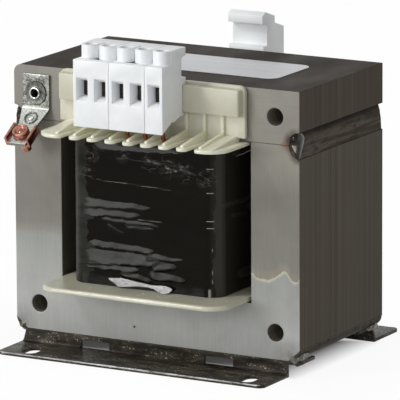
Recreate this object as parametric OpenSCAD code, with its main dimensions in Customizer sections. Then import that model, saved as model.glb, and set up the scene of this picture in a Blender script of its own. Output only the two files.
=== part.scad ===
// Open-frame control transformer: welded E and I laminations, moulded bobbin,
// taped winding, screw terminals front and rear, earth tab and two sheet feet.
// Millimetres, Z up, origin on the standing plane below the core's middle.

/* [Core] */
// Width of an outer limb, the unit of the lamination's proportions
limb_w = 20; // [17:0.5:26]
// Thickness of the lamination stack, front to back
stack_d = 65; // [45:1:90]
// Air left between the E and I laminations
seam_gap = 0.1; // [0.05:0.05:0.3]
// Diameter of the holes at the core's corners
core_hole_d = 6.5; // [5:0.1:9]
// Radius of the I laminations' round corner at the top left
yoke_r = 3; // [1:0.1:5]
// Width of the bevel at the lower corners
bevel_w = 4.6; // [2:0.1:6]
// Height of the bevel at the lower corners
bevel_h = 4.2; // [2:0.1:6]
// Rise of the weld bead over that bevel
corner_bead_h = 1.3; // [0.6:0.1:1.8]
// Radius of the weld groove along each side seam
groove_r = 5; // [3.5:0.1:6]
// Depth of the weld groove
groove_d = 4.1; // [2.5:0.1:5]
// Radius of the weld bead's outer face
bead_r = 6; // [4:0.1:9]
// Distance of the bead's outer face from the core's side
bead_sink = 1.4; // [0.4:0.1:2]
// Distance of the bead's ends from the core's faces
bead_end = 1; // [0.5:0.1:4]
// Play between a weld bead and the laminations
bead_gap = 0.1; // [0.05:0.05:0.2]

/* [Feet] */
// Height of the core's underside above the standing plane
foot_h = 6.3; // [5.6:0.1:12]
// Sheet thickness of the feet
foot_t = 1.3; // [0.8:0.1:1.8]
// How much a foot's web and lower flange fall short of the core at the right
foot_inset = 5; // [2:0.1:8]
// How much further the lower flange reaches at the left than at the right
foot_long = 2.4; // [0:0.1:4]
// Slant of the web's left end
foot_slant = 1.4; // [0:0.1:3]
// How much the welded flange falls short of the core at the left
foot_top_inset = 3.8; // [0:0.1:8]
// Depth of the flange that is welded under the core
foot_top_d = 12; // [8:0.5:18]
// How far the lower flange stands out from the core's face
foot_reach = 19; // [18.5:0.5:26]
// Corner radius of the lower flange
foot_corner_r = 2.5; // [1:0.1:5]
// Width of the fixing slots
slot_w = 5.6; // [4.2:0.1:7]
// Length of the fixing slots, end to end
slot_len = 10; // [8:0.1:12]
// Distance from the foot's right end to the middle of a slot
slot_inset = 9; // [7:0.1:14]
// Distance from the core's face to the middle of a slot
slot_out = 12; // [8:0.1:12.4]
// Width of the windows in the web
web_window_w = 12; // [6:0.1:16]
// Spacing of the windows in the web
web_window_pitch = 52.5; // [40:0.5:60]
// Height of the web above its windows
web_bridge_h = 0.7; // [0.4:0.1:1.2]

/* [Bobbin] */
// Wall of the bobbin's tube and lower flange
bobbin_wall = 2; // [1.4:0.1:2.6]
// Thickness of the upper flange
high_flange_t = 1.3; // [1:0.1:2]
// Play between the bobbin and the laminations
bobbin_gap = 0.3; // [0.2:0.05:0.5]
// Play between the bobbin's flanges and the outer limbs
flange_gap = 0.9; // [0.3:0.1:2]
// How far the flanges stand out from the core's face
flange_reach = 21.5; // [18:0.5:26]
// Corner radius of the flanges
flange_r = 8; // [2:0.1:9.5]
// Thickness of the plate that carries the terminals
carrier_t = 2; // [1.4:0.1:3]
// How much that plate falls short of the flanges at each end
carrier_inset = 0.2; // [0.2:0.1:2]
// How far that plate stands above the core
carrier_rise = 0.5; // [0.2:0.1:3]
// Corner radius at the top of the plate
carrier_r = 2.6; // [1:0.1:5]
// How much lower the rear plate and its rail lie
rear_sink = 1.6; // [1:0.1:3]
// Height of the terminal rail
rail_h = 9.8; // [8:0.1:12]
// Thickness of the front terminal rail
rail_t = 3; // [2.8:0.1:5]
// Thickness of the rear terminal rail
rear_rail_t = 4.2; // [3.4:0.1:5]
// Corner radius of the rails' ends
rail_r = 0.8; // [0.4:0.1:2.6]
// Distance from the core's top down to the rail
rail_drop = 0.6; // [0.2:0.1:3]
// Distance from the rail's end to the plate's end
rail_inset = 1.1; // [0.5:0.1:3]
// Width of the round-ended fingers of the upper flange
finger_w = 4.6; // [3.6:0.1:5]
// Thickness of the guide fins on the fingers
fin_t = 1.4; // [1:0.1:2.6]
// How far a fin stands out from the plate below the rail
fin_rise = 1.2; // [0.8:0.1:2]
// Height of a fin above the flange at the plate
fin_root_h = 3.2; // [3:0.1:5]
// Height of a fin above the flange at its tip
fin_tip_h = 0.8; // [0.5:0.1:1.6]
// Distance from a fin's tip to the end of its finger
fin_tip_in = 1.8; // [1:0.1:3]
// Length of the sloping land beyond the last fin
land_l = 5.6; // [3:0.1:6]
// Height of the sloping land at the plate
land_rise = 2.3; // [1:0.1:3]
// Width of the notch under each end of the plate
notch_w = 3; // [1:0.1:3.2]
// Height of the notch under each end of the plate
notch_h = 1.6; // [0.8:0.1:2.4]

/* [Winding] */
// Build-up of the winding at the left and right
winding_side_build = 9; // [5:0.1:10]
// Build-up of the winding at the front and rear
winding_face_build = 6.4; // [5:0.1:10]
// Corner radius of the winding
winding_r = 6; // [2:0.1:7]
// Play between the winding and the bobbin
winding_gap = 0.1; // [0.05:0.05:0.3]
// Diameter of the lead wires
lead_d = 1.6; // [1:0.1:2.2]
// Bend radius of the lead wires
lead_bend = 2.6; // [2:0.1:3]
// How far a lead reaches above the lower edge of its housing
lead_in = 5.6; // [4.6:0.1:7]
// Distance from a lead's inner end to the bobbin's tube
lead_gap = 0.3; // [0.2:0.1:1]

/* [Terminals] */
// Width of one pole
pole_pitch = 7.5; // [7:0.1:7.6]
// Play between neighbouring housings
housing_gap = 0.16; // [0.1:0.02:0.3]
// Play between the housings and the rail
clip_gap = 0.25; // [0.15:0.05:0.4]
// Depth of a front housing from its face to the rail
housing_d = 14.8; // [14.2:0.1:17.2]
// Depth of the rear housing from its face to the rail
rear_housing_d = 13.6; // [13:0.1:16]
// How far the face reaches below the rail
face_drop = 6.1; // [5:0.1:7]
// How far the face reaches above the rail
face_rise = 8.9; // [8:0.1:11]
// Height of the screw towers above the face
tower_h = 5; // [3:0.1:7]
// Diameter of the screw towers
tower_d = 6.8; // [6.2:0.1:6.9]
// Width of the slot between two towers of one housing
tower_slot_w = 1; // [0.6:0.1:1.4]
// Depth of that slot behind the screw axis
tower_slot_d = 5; // [2:0.1:6]
// Distance from the face to the screw axis
screw_in = 6.8; // [6.5:0.1:7.2]
// Length of the hooks that hold the housing on the rail
hook_l = 2.5; // [1.5:0.1:2.8]
// Height of the hook above the rail
hook_h = 2.6; // [1.5:0.1:3]
// Height of the ledge at the back of the towers
ledge_h = 3.1; // [2:0.1:4]
// Depth of the recess between ledge and hook, behind the rail's face
recess_d = 0.6; // [0.3:0.1:1]
// Length of the heel under the rail
heel_l = 1; // [0.5:0.1:2]
// Height of the heel under the rail
heel_h = 1.2; // [0.8:0.1:1.6]
// Length of the heel's underside in front of the rail
heel_root = 2; // [1:0.1:3]
// Distance from the face to the back of the chin
belly_in = 9.1; // [8.6:0.1:10]
// Length of the sloping chin below the face
chin_l = 6.8; // [5:0.1:7.4]
// Height of the sloping chin
chin_h = 3.5; // [2.5:0.1:3.6]
// Height of the rear housing's face above the rail
rear_face_rise = 8.4; // [8:0.1:10]
// Rise of the rear housing's lower and upper slopes
rear_slope_h = 2.4; // [1:0.1:3]
// Height of the step between the rear housing's slopes
rear_step_h = 2.6; // [1.5:0.1:4]
// Distance from the rear housing's face to the step
rear_step_in = 7.1; // [6.8:0.1:7.4]
// Distance from the rear housing's face to its ridge
rear_ridge_in = 14.1; // [13:0.1:15]
// How far the rear housing overhangs the rail
rear_hook_l = 3.3; // [2.5:0.1:4]
// Fall of the rear housing's back from its ridge
rear_back_fall = 1.2; // [0.5:0.1:2]
// Distance from the rear housing's face to its screw axis
rear_screw_in = 9.9; // [9.8:0.1:10.2]
// Height of a wire entry's middle above the rail's lower edge
mouth_rise = 7.8; // [7:0.1:8.4]
// Width of a wire entry's mouth
mouth_w = 4.8; // [4.6:0.1:5.4]
// Height of a wire entry's mouth
mouth_h = 8.8; // [8:0.1:9.4]
// Depth of the tapering part of a wire entry
mouth_d = 2.6; // [1.5:0.1:3.4]
// Width of a wire entry behind the taper
duct_w = 4.3; // [4.2:0.1:4.5]
// Height of a wire entry behind the taper
duct_h = 6; // [5.4:0.1:6.8]
// Depth of a clamp, front to back
clamp_d = 3.4; // [2.8:0.1:3.8]
// Play between a clamp and its duct
clamp_gap = 0.2; // [0.1:0.05:0.3]
// Diameter of the clamp screws' heads
screw_head_d = 4; // [3.4:0.1:4.4]
// Height of the clamp screws' heads
screw_head_h = 2.4; // [1.6:0.1:3]
// Depth of the clamp screws' heads below the towers' tops
screw_sink = 0.8; // [0.4:0.1:2.4]
// Width of the slot in the clamp screws' heads
screw_slot_w = 0.8; // [0.5:0.1:1.2]
// Diameter of the clamp screws' shanks
screw_d = 2.6; // [2:0.1:3]
// Play round the clamp screws
screw_gap = 0.2; // [0.1:0.05:0.3]
// Play below a screw or rivet head
seat_gap = 0.05; // [0.02:0.01:0.1]

/* [Earth tab] */
// Width of the earth tab
tab_w = 11.4; // [9.6:0.1:13]
// Sheet thickness of the earth tab
tab_t = 1; // [0.6:0.1:1.5]
// Height of the tab's plate above the rivet
tab_up = 7; // [5:0.1:9]
// Height of the tab's plate below the rivet
tab_down = 6; // [4.8:0.1:7]
// Length of the tab's sloping part
tab_slope_l = 8.8; // [7:0.1:10]
// Fall of the sloping part below level, in degrees
tab_slope_a = 42; // [36:1:55]
// Length of the tab's lip
tab_lip_l = 10.2; // [9:0.1:12]
// Width of the tab's lip
tab_lip_w = 8; // [7.4:0.1:9]
// Fall of the lip below level, in degrees
tab_lip_a = 32; // [20:1:36]
// Diameter of the rivet's head
rivet_head_d = 9; // [8:0.1:9.5]
// Thickness of the rivet's head
rivet_head_h = 1.2; // [0.8:0.1:1.8]
// Diameter of the rivet's bore
rivet_bore_d = 3.1; // [2:0.1:3.6]
// Length of the rivet in the core
rivet_l = 16; // [8:0.5:30]
// Play of the rivet in its hole, on the diameter
rivet_gap = 0.4; // [0.2:0.05:0.6]
// Thickness of the clamp saddle
saddle_t = 1; // [0.7:0.1:1.4]
// Distance from the saddle to the lip's ends
saddle_inset = 0.8; // [0.3:0.1:1.5]
// Height of the saddle's walls above the lip
saddle_rise = 1.6; // [1:0.1:2.4]
// Play between the saddle and the lip
saddle_gap = 0.15; // [0.1:0.05:0.3]
// Diameter of the earth screw's head
earth_head_d = 6.4; // [5.4:0.1:7]
// Height of the earth screw's head
earth_head_h = 2.4; // [1.6:0.1:3]
// Width of the slot in the earth screw's head
earth_slot_w = 1.2; // [0.6:0.1:1.6]
// Diameter of the earth screw's shank
earth_shank_d = 3.6; // [3:0.1:4.4]
// Length of the earth screw below its head
earth_shank_l = 7.6; // [5:0.1:9]
// Play of the earth screw in its holes, on the diameter
earth_gap = 0.4; // [0.2:0.05:0.6]

/* [Hidden] */
round_fn = 48;
cut = 1;
funnel_lap = 0.01;

core_w = 6 * limb_w;
core_h = 5 * limb_w;
half_w = core_w / 2;
half_d = stack_d / 2;
seam_z = foot_h + 4 * limb_w;
core_top = foot_h + core_h;
hole_x = 2.5 * limb_w;
hole_low_z = foot_h + limb_w / 2;
hole_high_z = core_top - limb_w / 2;

groove_x = half_w - groove_d + groove_r;
bead_x = half_w - bead_sink - bead_r;
bevel_l = sqrt(bevel_w * bevel_w + bevel_h * bevel_h);
corner_bead_r = (bevel_l * bevel_l / 4 + corner_bead_h * corner_bead_h) / (2 * corner_bead_h);
corner_bead_in = (corner_bead_r - corner_bead_h) / bevel_l;

foot_x = half_w - foot_inset;
foot_mid = -foot_long / 2;
slot_x = foot_x - slot_inset;
web_window_h = foot_h - 2 * foot_t - web_bridge_h;

tube_x = limb_w + bobbin_gap + bobbin_wall;
tube_y = half_d + bobbin_gap + bobbin_wall;
flange_x = 2 * limb_w - flange_gap;
flange_y = half_d + flange_reach;
low_flange_z = foot_h + limb_w + bobbin_gap;
high_flange_z = seam_z - bobbin_gap - high_flange_t;
carrier_x = flange_x - carrier_inset;
carrier_y = half_d + bobbin_gap;
carrier_face = carrier_y + carrier_t;
carrier_top = core_top + carrier_rise;
rail_top = core_top - rail_drop;
rail_bottom = rail_top - rail_h;
rail_x = carrier_x - rail_inset;
fin_count = 4;
land_x = fin_count * pole_pitch;
fin_face = carrier_face + fin_rise;
flange_top = high_flange_z + high_flange_t;
fin_root_z = flange_top + fin_root_h;
fin_tip_y = flange_y - fin_tip_in;
finger_y = flange_y - finger_w / 2;
plate_low = flange_top + notch_h;

winding_x = tube_x + winding_gap + winding_side_build;
winding_y = tube_y + winding_gap + winding_face_build;
winding_low = low_flange_z + bobbin_wall + winding_gap;
winding_high = high_flange_z - winding_gap;

clip_face = carrier_face + rail_t + clip_gap;
rear_clip_face = carrier_face + rear_rail_t + clip_gap;
face_y = clip_face + housing_d;
rear_face_y = rear_clip_face + rear_housing_d;
face_bottom = rail_bottom - face_drop;
face_top = rail_top + face_rise;
tower_top = face_top + tower_h;
screw_y = face_y - screw_in;
mouth_z = rail_bottom + mouth_rise;
rear_face_top = rail_top + rear_face_rise;
rear_step_low = rear_face_top + rear_slope_h;
rear_step_top = rear_step_low + rear_step_h;
rear_ridge = rear_step_top + rear_slope_h;
rear_ledge = rear_ridge - rear_back_fall;
rear_screw_y = rear_face_y - rear_screw_in;
clamp_h = duct_h - 2 * clamp_gap;
clamp_w = duct_w - 2 * clamp_gap;
clamp_low = mouth_z - duct_h / 2 + clamp_gap / 2;
clamp_high = clamp_low + clamp_h;
screw_bore_d = screw_head_d + 2 * screw_gap;
lead_y = screw_y;
lead_z = winding_high + winding_gap + lead_d / 2;
lead_hole_d = lead_d + 2 * clip_gap;
lead_top = face_bottom + lead_in;

tab_y = half_d;
tab_pts = [[0, tab_up], [0, -tab_down],
           [tab_slope_l * cos(tab_slope_a), -tab_down - tab_slope_l * sin(tab_slope_a)]];
tab_end = tab_pts[2] + tab_lip_l * [cos(tab_lip_a), -sin(tab_lip_a)];
slope_n = [sin(tab_slope_a), cos(tab_slope_a)];
lip_n = [sin(tab_lip_a), cos(tab_lip_a)];
bend_one = tab_t * ([1, 0] + slope_n) / (1 + slope_n[0]);
bend_two = tab_t * (slope_n + lip_n) / (1 + slope_n * lip_n);
rivet_d = core_hole_d - rivet_gap;
lip_mid = tab_lip_l / 2;
saddle_l = tab_lip_l - 2 * saddle_inset;

// A plate with four round corners, half sizes x and y, standing on z = 0.
module round_plate(x, y, r, h) {
    linear_extrude(h) {
        square([2 * x, 2 * (y - r)], center = true);
        square([2 * (x - r), 2 * y], center = true);
        for (sx = [-1, 1], sy = [-1, 1])
            translate([sx * (x - r), sy * (y - r)]) circle(r, $fn = round_fn);
    }
}

// A plate of half width x between two forward distances, with round front corners.
module front_plate(x, back, front, r, h) {
    linear_extrude(h) {
        translate([-x, r - front]) square([2 * x, front - r - back]);
        translate([r - x, -front]) square([2 * (x - r), front - back]);
        for (s = [-1, 1]) translate([s * (x - r), r - front]) circle(r, $fn = round_fn);
    }
}

// A shape drawn in X and Z, as deep as the given length about y = 0.
module along_y(d) {
    translate([0, d / 2, 0]) rotate([90, 0, 0]) linear_extrude(d) children();
}

// A shape drawn in forward distance and Z, spread along X from a given start.
module along_x(x, w) {
    translate([x, 0, 0]) rotate([0, 0, 90]) rotate([90, 0, 0]) mirror([1, 0, 0])
        linear_extrude(w) children();
}

module core_holes() {
    for (sx = [-1, 1], z = [hole_low_z, hole_high_z])
        translate([sx * hole_x, half_d + cut, z]) rotate([90, 0, 0])
            cylinder(d = core_hole_d, h = stack_d + 2 * cut, $fn = round_fn);
}

module seam_grooves() {
    for (s = [-1, 1])
        along_y(stack_d + 2 * cut) translate([s * groove_x, seam_z]) circle(groove_r, $fn = round_fn);
}

module e_core() {
    color([0.62, 0.62, 0.58]) difference() {
        along_y(stack_d)
            polygon([[-half_w + bevel_w, foot_h], [half_w - bevel_w, foot_h],
                     [half_w, foot_h + bevel_h], [half_w, seam_z - seam_gap],
                     [-half_w, seam_z - seam_gap], [-half_w, foot_h + bevel_h]]);
        for (s = [-1, 1])
            translate([s * 1.5 * limb_w - limb_w / 2, -half_d - cut, foot_h + limb_w])
                cube([limb_w, stack_d + 2 * cut, 3 * limb_w + cut]);
        core_holes();
        seam_grooves();
    }
}

module i_core() {
    color([0.62, 0.62, 0.58]) difference() {
        along_y(stack_d) {
            translate([-half_w, seam_z]) square([core_w, limb_w - yoke_r]);
            translate([yoke_r - half_w, seam_z]) square([core_w - yoke_r, limb_w]);
            translate([yoke_r - half_w, core_top - yoke_r]) circle(yoke_r, $fn = round_fn);
        }
        core_holes();
        seam_grooves();
    }
}

module seam_weld(s) {
    color([0.25, 0.23, 0.21]) along_y(stack_d - 2 * bead_end) intersection() {
        translate([s * groove_x, seam_z]) circle(groove_r - bead_gap, $fn = round_fn);
        translate([s * bead_x, seam_z]) circle(bead_r, $fn = round_fn);
    }
}

module left_seam_weld() {
    seam_weld(-1);
}

module right_seam_weld() {
    seam_weld(1);
}

module corner_weld(s) {
    color([0.25, 0.23, 0.21]) along_y(stack_d) intersection() {
        translate([s * (half_w - bevel_w / 2 - corner_bead_in * bevel_h),
                   foot_h + bevel_h / 2 + corner_bead_in * bevel_w])
            circle(corner_bead_r, $fn = round_fn);
        polygon([[s * (half_w - bevel_w), foot_h], [s * half_w, foot_h],
                 [s * half_w, foot_h + bevel_h]]);
    }
}

module left_corner_weld() {
    corner_weld(-1);
}

module right_corner_weld() {
    corner_weld(1);
}

module foot_slot(x) {
    reach = (slot_len - slot_w) / 2;
    translate([x, -half_d - slot_out, -cut]) linear_extrude(foot_t + 2 * cut) {
        square([slot_w, 2 * reach], center = true);
        for (sy = [-1, 1]) translate([0, sy * reach]) circle(d = slot_w, $fn = round_fn);
    }
}

module foot() {
    color([0.13, 0.12, 0.11]) difference() {
        union() {
            translate([foot_top_inset - half_w, -half_d, foot_h - foot_t])
                cube([core_w - foot_top_inset, foot_top_d, foot_t]);
            translate([0, foot_t / 2 - half_d, 0]) along_y(foot_t)
                polygon([[-foot_x - foot_long, 0], [foot_x, 0], [foot_x, foot_h],
                         [foot_slant - foot_x - foot_long, foot_h], [-foot_x - foot_long, foot_t]]);
            translate([foot_mid, 0, 0])
                front_plate(foot_x - foot_mid, half_d - foot_t, half_d + foot_reach, foot_corner_r, foot_t);
        }
        for (s = [-1, 1]) {
            foot_slot(s * slot_x);
            translate([s * web_window_pitch / 2 - web_window_w / 2, -half_d - cut, foot_t])
                cube([web_window_w, foot_t + 2 * cut, web_window_h]);
        }
    }
}

module front_foot() {
    foot();
}

module rear_foot() {
    rotate([0, 0, 180]) foot();
}

// A finger of the upper flange with a guide fin that runs up to a rail that lies lower by a given drop.
module fin(x, drop) {
    translate([x, 0, high_flange_z]) linear_extrude(high_flange_t) {
        translate([-finger_w / 2, -finger_y]) square([finger_w, finger_y - carrier_y]);
        translate([0, -finger_y]) circle(d = finger_w, $fn = round_fn);
    }
    along_x(x - fin_t / 2, fin_t)
        polygon([[carrier_y, high_flange_z], [fin_tip_y, high_flange_z],
                 [fin_tip_y, flange_top + fin_tip_h], [fin_face, fin_root_z],
                 [fin_face, rail_bottom - drop], [carrier_y, rail_bottom - drop]]);
}

// The sloping land beyond the last fin at one side.
module land(s) {
    intersection() {
        along_x(s * (land_x + land_l / 2) - land_l / 2, land_l)
            polygon([[carrier_y, high_flange_z], [flange_y, high_flange_z], [flange_y, flange_top],
                     [carrier_face, flange_top + land_rise], [carrier_y, flange_top + land_rise]]);
        translate([0, 0, high_flange_z])
            round_plate(flange_x, flange_y, flange_r, high_flange_t + land_rise + cut);
    }
}

// The plate, rail and fins in front of the core, with plate and rail lower by a given drop.
module bobbin_face(drop, rail_depth) {
    plate_top = carrier_top - drop;
    inner_x = carrier_x - notch_w;
    translate([0, -carrier_y - carrier_t / 2, 0]) along_y(carrier_t) {
        translate([-inner_x, high_flange_z])
            square([2 * inner_x, plate_top - carrier_r - high_flange_z]);
        translate([-carrier_x, plate_low])
            square([2 * carrier_x, plate_top - carrier_r - plate_low]);
        translate([carrier_r - carrier_x, plate_low])
            square([2 * (carrier_x - carrier_r), plate_top - plate_low]);
        for (s = [-1, 1])
            translate([s * (carrier_x - carrier_r), plate_top - carrier_r])
                circle(carrier_r, $fn = round_fn);
    }
    translate([0, 0, rail_bottom - drop])
        front_plate(rail_x, carrier_face, carrier_face + rail_depth, rail_r, rail_h);
    for (k = [-fin_count:fin_count]) fin(k * pole_pitch, drop);
    for (s = [-1, 1]) land(s);
}

module bobbin() {
    color([0.88, 0.86, 0.74]) difference() {
        union() {
            translate([-tube_x, -tube_y, low_flange_z])
                cube([2 * tube_x, 2 * tube_y, high_flange_z - low_flange_z + high_flange_t]);
            translate([0, 0, low_flange_z]) round_plate(flange_x, flange_y, flange_r, bobbin_wall);
            difference() {
                translate([0, 0, high_flange_z])
                    round_plate(flange_x, flange_y, flange_r, high_flange_t);
                for (s = [0, 180])
                    rotate([0, 0, s]) translate([-land_x, -flange_y - cut, high_flange_z - cut])
                        cube([2 * land_x, flange_y + cut - tube_y, high_flange_t + 2 * cut]);
            }
            bobbin_face(0, rail_t);
            mirror([0, 1, 0]) bobbin_face(rear_sink, rear_rail_t);
        }
        translate([-limb_w - bobbin_gap, -half_d - bobbin_gap, low_flange_z - cut])
            cube([2 * (limb_w + bobbin_gap), stack_d + 2 * bobbin_gap,
                  high_flange_z + high_flange_t - low_flange_z + 2 * cut]);
    }
}

module winding() {
    color([0.08, 0.07, 0.07]) translate([0, 0, winding_low]) difference() {
        round_plate(winding_x, winding_y, winding_r, winding_high - winding_low);
        translate([-tube_x - winding_gap, -tube_y - winding_gap, -cut])
            cube([2 * (tube_x + winding_gap), 2 * (tube_y + winding_gap),
                  winding_high - winding_low + 2 * cut]);
    }
}

// The lower part of a housing's side outline, from the hook over the rail to the face's lower edge.
function seat_points(seat, face) =
    [[seat + recess_d, rail_top + clip_gap + hook_h], [seat - hook_l, rail_top + clip_gap + hook_h],
     [seat - hook_l, rail_top + clip_gap], [seat, rail_top + clip_gap],
     [seat, rail_bottom - clip_gap], [seat - heel_l, rail_bottom - clip_gap],
     [seat - heel_l, rail_bottom - clip_gap - heel_h],
     [seat + heel_root, rail_bottom - clip_gap - heel_h],
     [face - belly_in, face_bottom + chin_h], [face - chin_l, face_bottom + chin_h],
     [face, face_bottom]];

// The side outline of a front housing, in forward distance and Z.
module front_outline() {
    polygon(concat([[face_y, face_top], [screw_y, face_top], [screw_y, tower_top],
                    [clip_face - hook_l, tower_top], [clip_face - hook_l, tower_top - ledge_h],
                    [clip_face + recess_d, tower_top - ledge_h - recess_d]],
                   seat_points(clip_face, face_y)));
}

// The side outline of the rear housing, whose top falls in two slopes with a step between.
module rear_outline() {
    polygon(concat([[rear_face_y, rear_face_top], [rear_face_y - rear_step_in, rear_step_low],
                    [rear_face_y - rear_step_in, rear_step_top],
                    [rear_face_y - rear_ridge_in, rear_ridge],
                    [rear_clip_face - rear_hook_l, rear_ledge],
                    [rear_clip_face - rear_hook_l, rear_ledge - ledge_h],
                    [rear_clip_face + recess_d, rear_ledge - ledge_h - recess_d]],
                   seat_points(rear_clip_face, rear_face_y)));
}

// The funnel, duct, screw bore and lead hole of one pole about x = 0, for a face and a screw's place.
module pole_cut(face, axis_y) {
    duct_end = axis_y - clamp_d / 2 - clamp_gap;
    duct_front = face - mouth_d + funnel_lap;
    intersection() {
        translate([0, 0, mouth_z - mouth_h]) linear_extrude(2 * mouth_h)
            polygon([[-mouth_w / 2, -face], [mouth_w / 2, -face],
                     [duct_w / 2, -face + mouth_d], [-duct_w / 2, -face + mouth_d]]);
        along_x(-mouth_w, 2 * mouth_w)
            polygon([[face, mouth_z - mouth_h / 2], [face, mouth_z + mouth_h / 2],
                     [face - mouth_d, mouth_z + duct_h / 2],
                     [face - mouth_d, mouth_z - duct_h / 2]]);
    }
    translate([-duct_w / 2, -duct_front, mouth_z - duct_h / 2])
        cube([duct_w, duct_front - duct_end, duct_h]);
    translate([0, -axis_y, mouth_z]) cylinder(d = screw_bore_d, h = tower_top, $fn = round_fn);
    translate([0, -lead_y, face_bottom - cut])
        cylinder(d = lead_hole_d, h = lead_top + clip_gap - face_bottom + cut, $fn = round_fn);
}

// Places a shape at the middle of each pole from one pole boundary to another.
module at_poles(first, last) {
    for (k = [first:last - 1]) translate([(k + 0.5) * pole_pitch, 0, 0]) children();
}

// A housing's body between two pole boundaries, with the side outline given as a child.
module housing_body(first, last) {
    along_x(first * pole_pitch + housing_gap / 2, (last - first) * pole_pitch - housing_gap) children();
}

// A front housing, with a round tower over each pole and a slot between towers.
module front_housing(first, last) {
    color([0.93, 0.94, 0.95]) difference() {
        union() {
            housing_body(first, last) front_outline();
            at_poles(first, last) translate([0, -screw_y, face_top - cut])
                cylinder(d = tower_d, h = tower_h + cut, $fn = round_fn);
        }
        at_poles(first, last) pole_cut(face_y, screw_y);
        if (last - first > 1)
            for (k = [first + 1:last - 1])
                translate([k * pole_pitch - tower_slot_w / 2, -face_y - cut, face_top])
                    cube([tower_slot_w, screw_in + cut + tower_slot_d, tower_h + cut]);
    }
}

module front_housing_left() {
    front_housing(-3, -1);
}

module front_housing_middle() {
    front_housing(-1, 1);
}

module front_housing_right() {
    front_housing(1, 2);
}

// Turns a shape drawn for the front terminals to the rear, on the lower rail.
module at_rear() {
    translate([0, 0, -rear_sink]) mirror([0, 1, 0]) children();
}

module rear_housing() {
    color([0.93, 0.94, 0.95]) at_rear() difference() {
        housing_body(-1, 1) rear_outline();
        at_poles(-1, 1) pole_cut(rear_face_y, rear_screw_y);
    }
}

module clamps(first, last, axis_y) {
    color([0.72, 0.62, 0.36])
        at_poles(first, last) translate([-clamp_w / 2, -axis_y - clamp_d / 2, clamp_low])
            cube([clamp_w, clamp_d, clamp_h]);
}

module front_clamps() {
    clamps(-3, 2, screw_y);
}

module rear_clamps() {
    at_rear() clamps(-1, 1, rear_screw_y);
}

// Slotted screws on the clamps, with their heads just below a given top.
module clamp_screws(first, last, axis_y, top) {
    head_low = top - screw_sink - screw_head_h;
    shank_low = clamp_high + seat_gap;
    color([0.75, 0.75, 0.74]) at_poles(first, last) translate([0, -axis_y, 0]) {
        translate([0, 0, shank_low])
            cylinder(d = screw_d, h = head_low + screw_head_h / 2 - shank_low, $fn = round_fn);
        difference() {
            translate([0, 0, head_low]) cylinder(d = screw_head_d, h = screw_head_h, $fn = round_fn);
            translate([-screw_head_d, -screw_slot_w / 2, head_low + screw_head_h / 2])
                cube([2 * screw_head_d, screw_slot_w, screw_head_h]);
        }
    }
}

module front_clamp_screws() {
    clamp_screws(-3, 2, screw_y, tower_top);
}

module rear_clamp_screws() {
    at_rear() clamp_screws(-1, 1, rear_screw_y, rear_step_top);
}

// A lead that rises from the top of the winding into each pole.
module leads(first, last, drop) {
    color([0.66, 0.33, 0.2]) at_poles(first, last) translate([0, -lead_y, lead_z]) {
        translate([0, 0, lead_bend])
            cylinder(d = lead_d, h = lead_top - drop - lead_z - lead_bend, $fn = round_fn);
        translate([0, lead_bend, lead_bend]) rotate([90, 0, -90])
            rotate([0, 0, 270]) rotate_extrude(angle = 90, $fn = round_fn)
                translate([lead_bend, 0]) circle(d = lead_d, $fn = round_fn);
        translate([0, lead_bend, 0]) rotate([-90, 0, 0])
            cylinder(d = lead_d, h = lead_y - lead_bend - tube_y - lead_gap, $fn = round_fn);
    }
}

module front_leads() {
    leads(-1, 2, 0);
}

module rear_leads() {
    mirror([0, 1, 0]) leads(-1, 1, rear_sink);
}

// Places a shape drawn about the rivet, in forward distance and Z, at the earth tab.
module at_rivet() {
    translate([-hole_x, -tab_y, hole_high_z]) children();
}

// Places a shape drawn on the lip's upper face, lip running along its own -Y.
module at_lip() {
    at_rivet() translate([0, -tab_pts[2][0], tab_pts[2][1]]) rotate([tab_lip_a, 0, 0]) children();
}

module earth_tab() {
    color([0.7, 0.71, 0.72]) difference() {
        intersection() {
            at_rivet() along_x(-tab_w / 2, tab_w)
                polygon([tab_pts[0], tab_pts[1], tab_pts[2], tab_end, tab_end + tab_t * lip_n,
                         tab_pts[2] + bend_two, tab_pts[1] + bend_one, tab_pts[0] + [tab_t, 0]]);
            translate([-hole_x, 0, hole_high_z]) along_y(2 * (tab_y + tab_end[0] + cut))
                polygon([[-tab_w / 2, tab_up], [tab_w / 2, tab_up], [tab_w / 2, -tab_down],
                         [tab_lip_w / 2, tab_pts[2][1] + tab_t], [tab_lip_w / 2, tab_end[1] - cut],
                         [-tab_lip_w / 2, tab_end[1] - cut], [-tab_lip_w / 2, tab_pts[2][1] + tab_t],
                         [-tab_w / 2, -tab_down]]);
        }
        at_rivet() translate([0, cut, 0]) rotate([90, 0, 0])
            cylinder(d = core_hole_d, h = tab_t + 2 * cut, $fn = round_fn);
        at_lip() translate([0, -lip_mid, -cut])
            cylinder(d = earth_shank_d + earth_gap, h = tab_t + 2 * cut, $fn = round_fn);
    }
}

module earth_rivet() {
    color([0.78, 0.78, 0.77]) at_rivet() rotate([90, 0, 0]) difference() {
        union() {
            translate([0, 0, -rivet_l])
                cylinder(d = rivet_d, h = rivet_l + tab_t + rivet_head_h / 2, $fn = round_fn);
            translate([0, 0, tab_t + seat_gap])
                cylinder(d = rivet_head_d, h = rivet_head_h, $fn = round_fn);
        }
        translate([0, 0, -rivet_l - cut])
            cylinder(d = rivet_bore_d, h = rivet_l + tab_t + rivet_head_h + 3 * cut, $fn = round_fn);
    }
}

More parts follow.
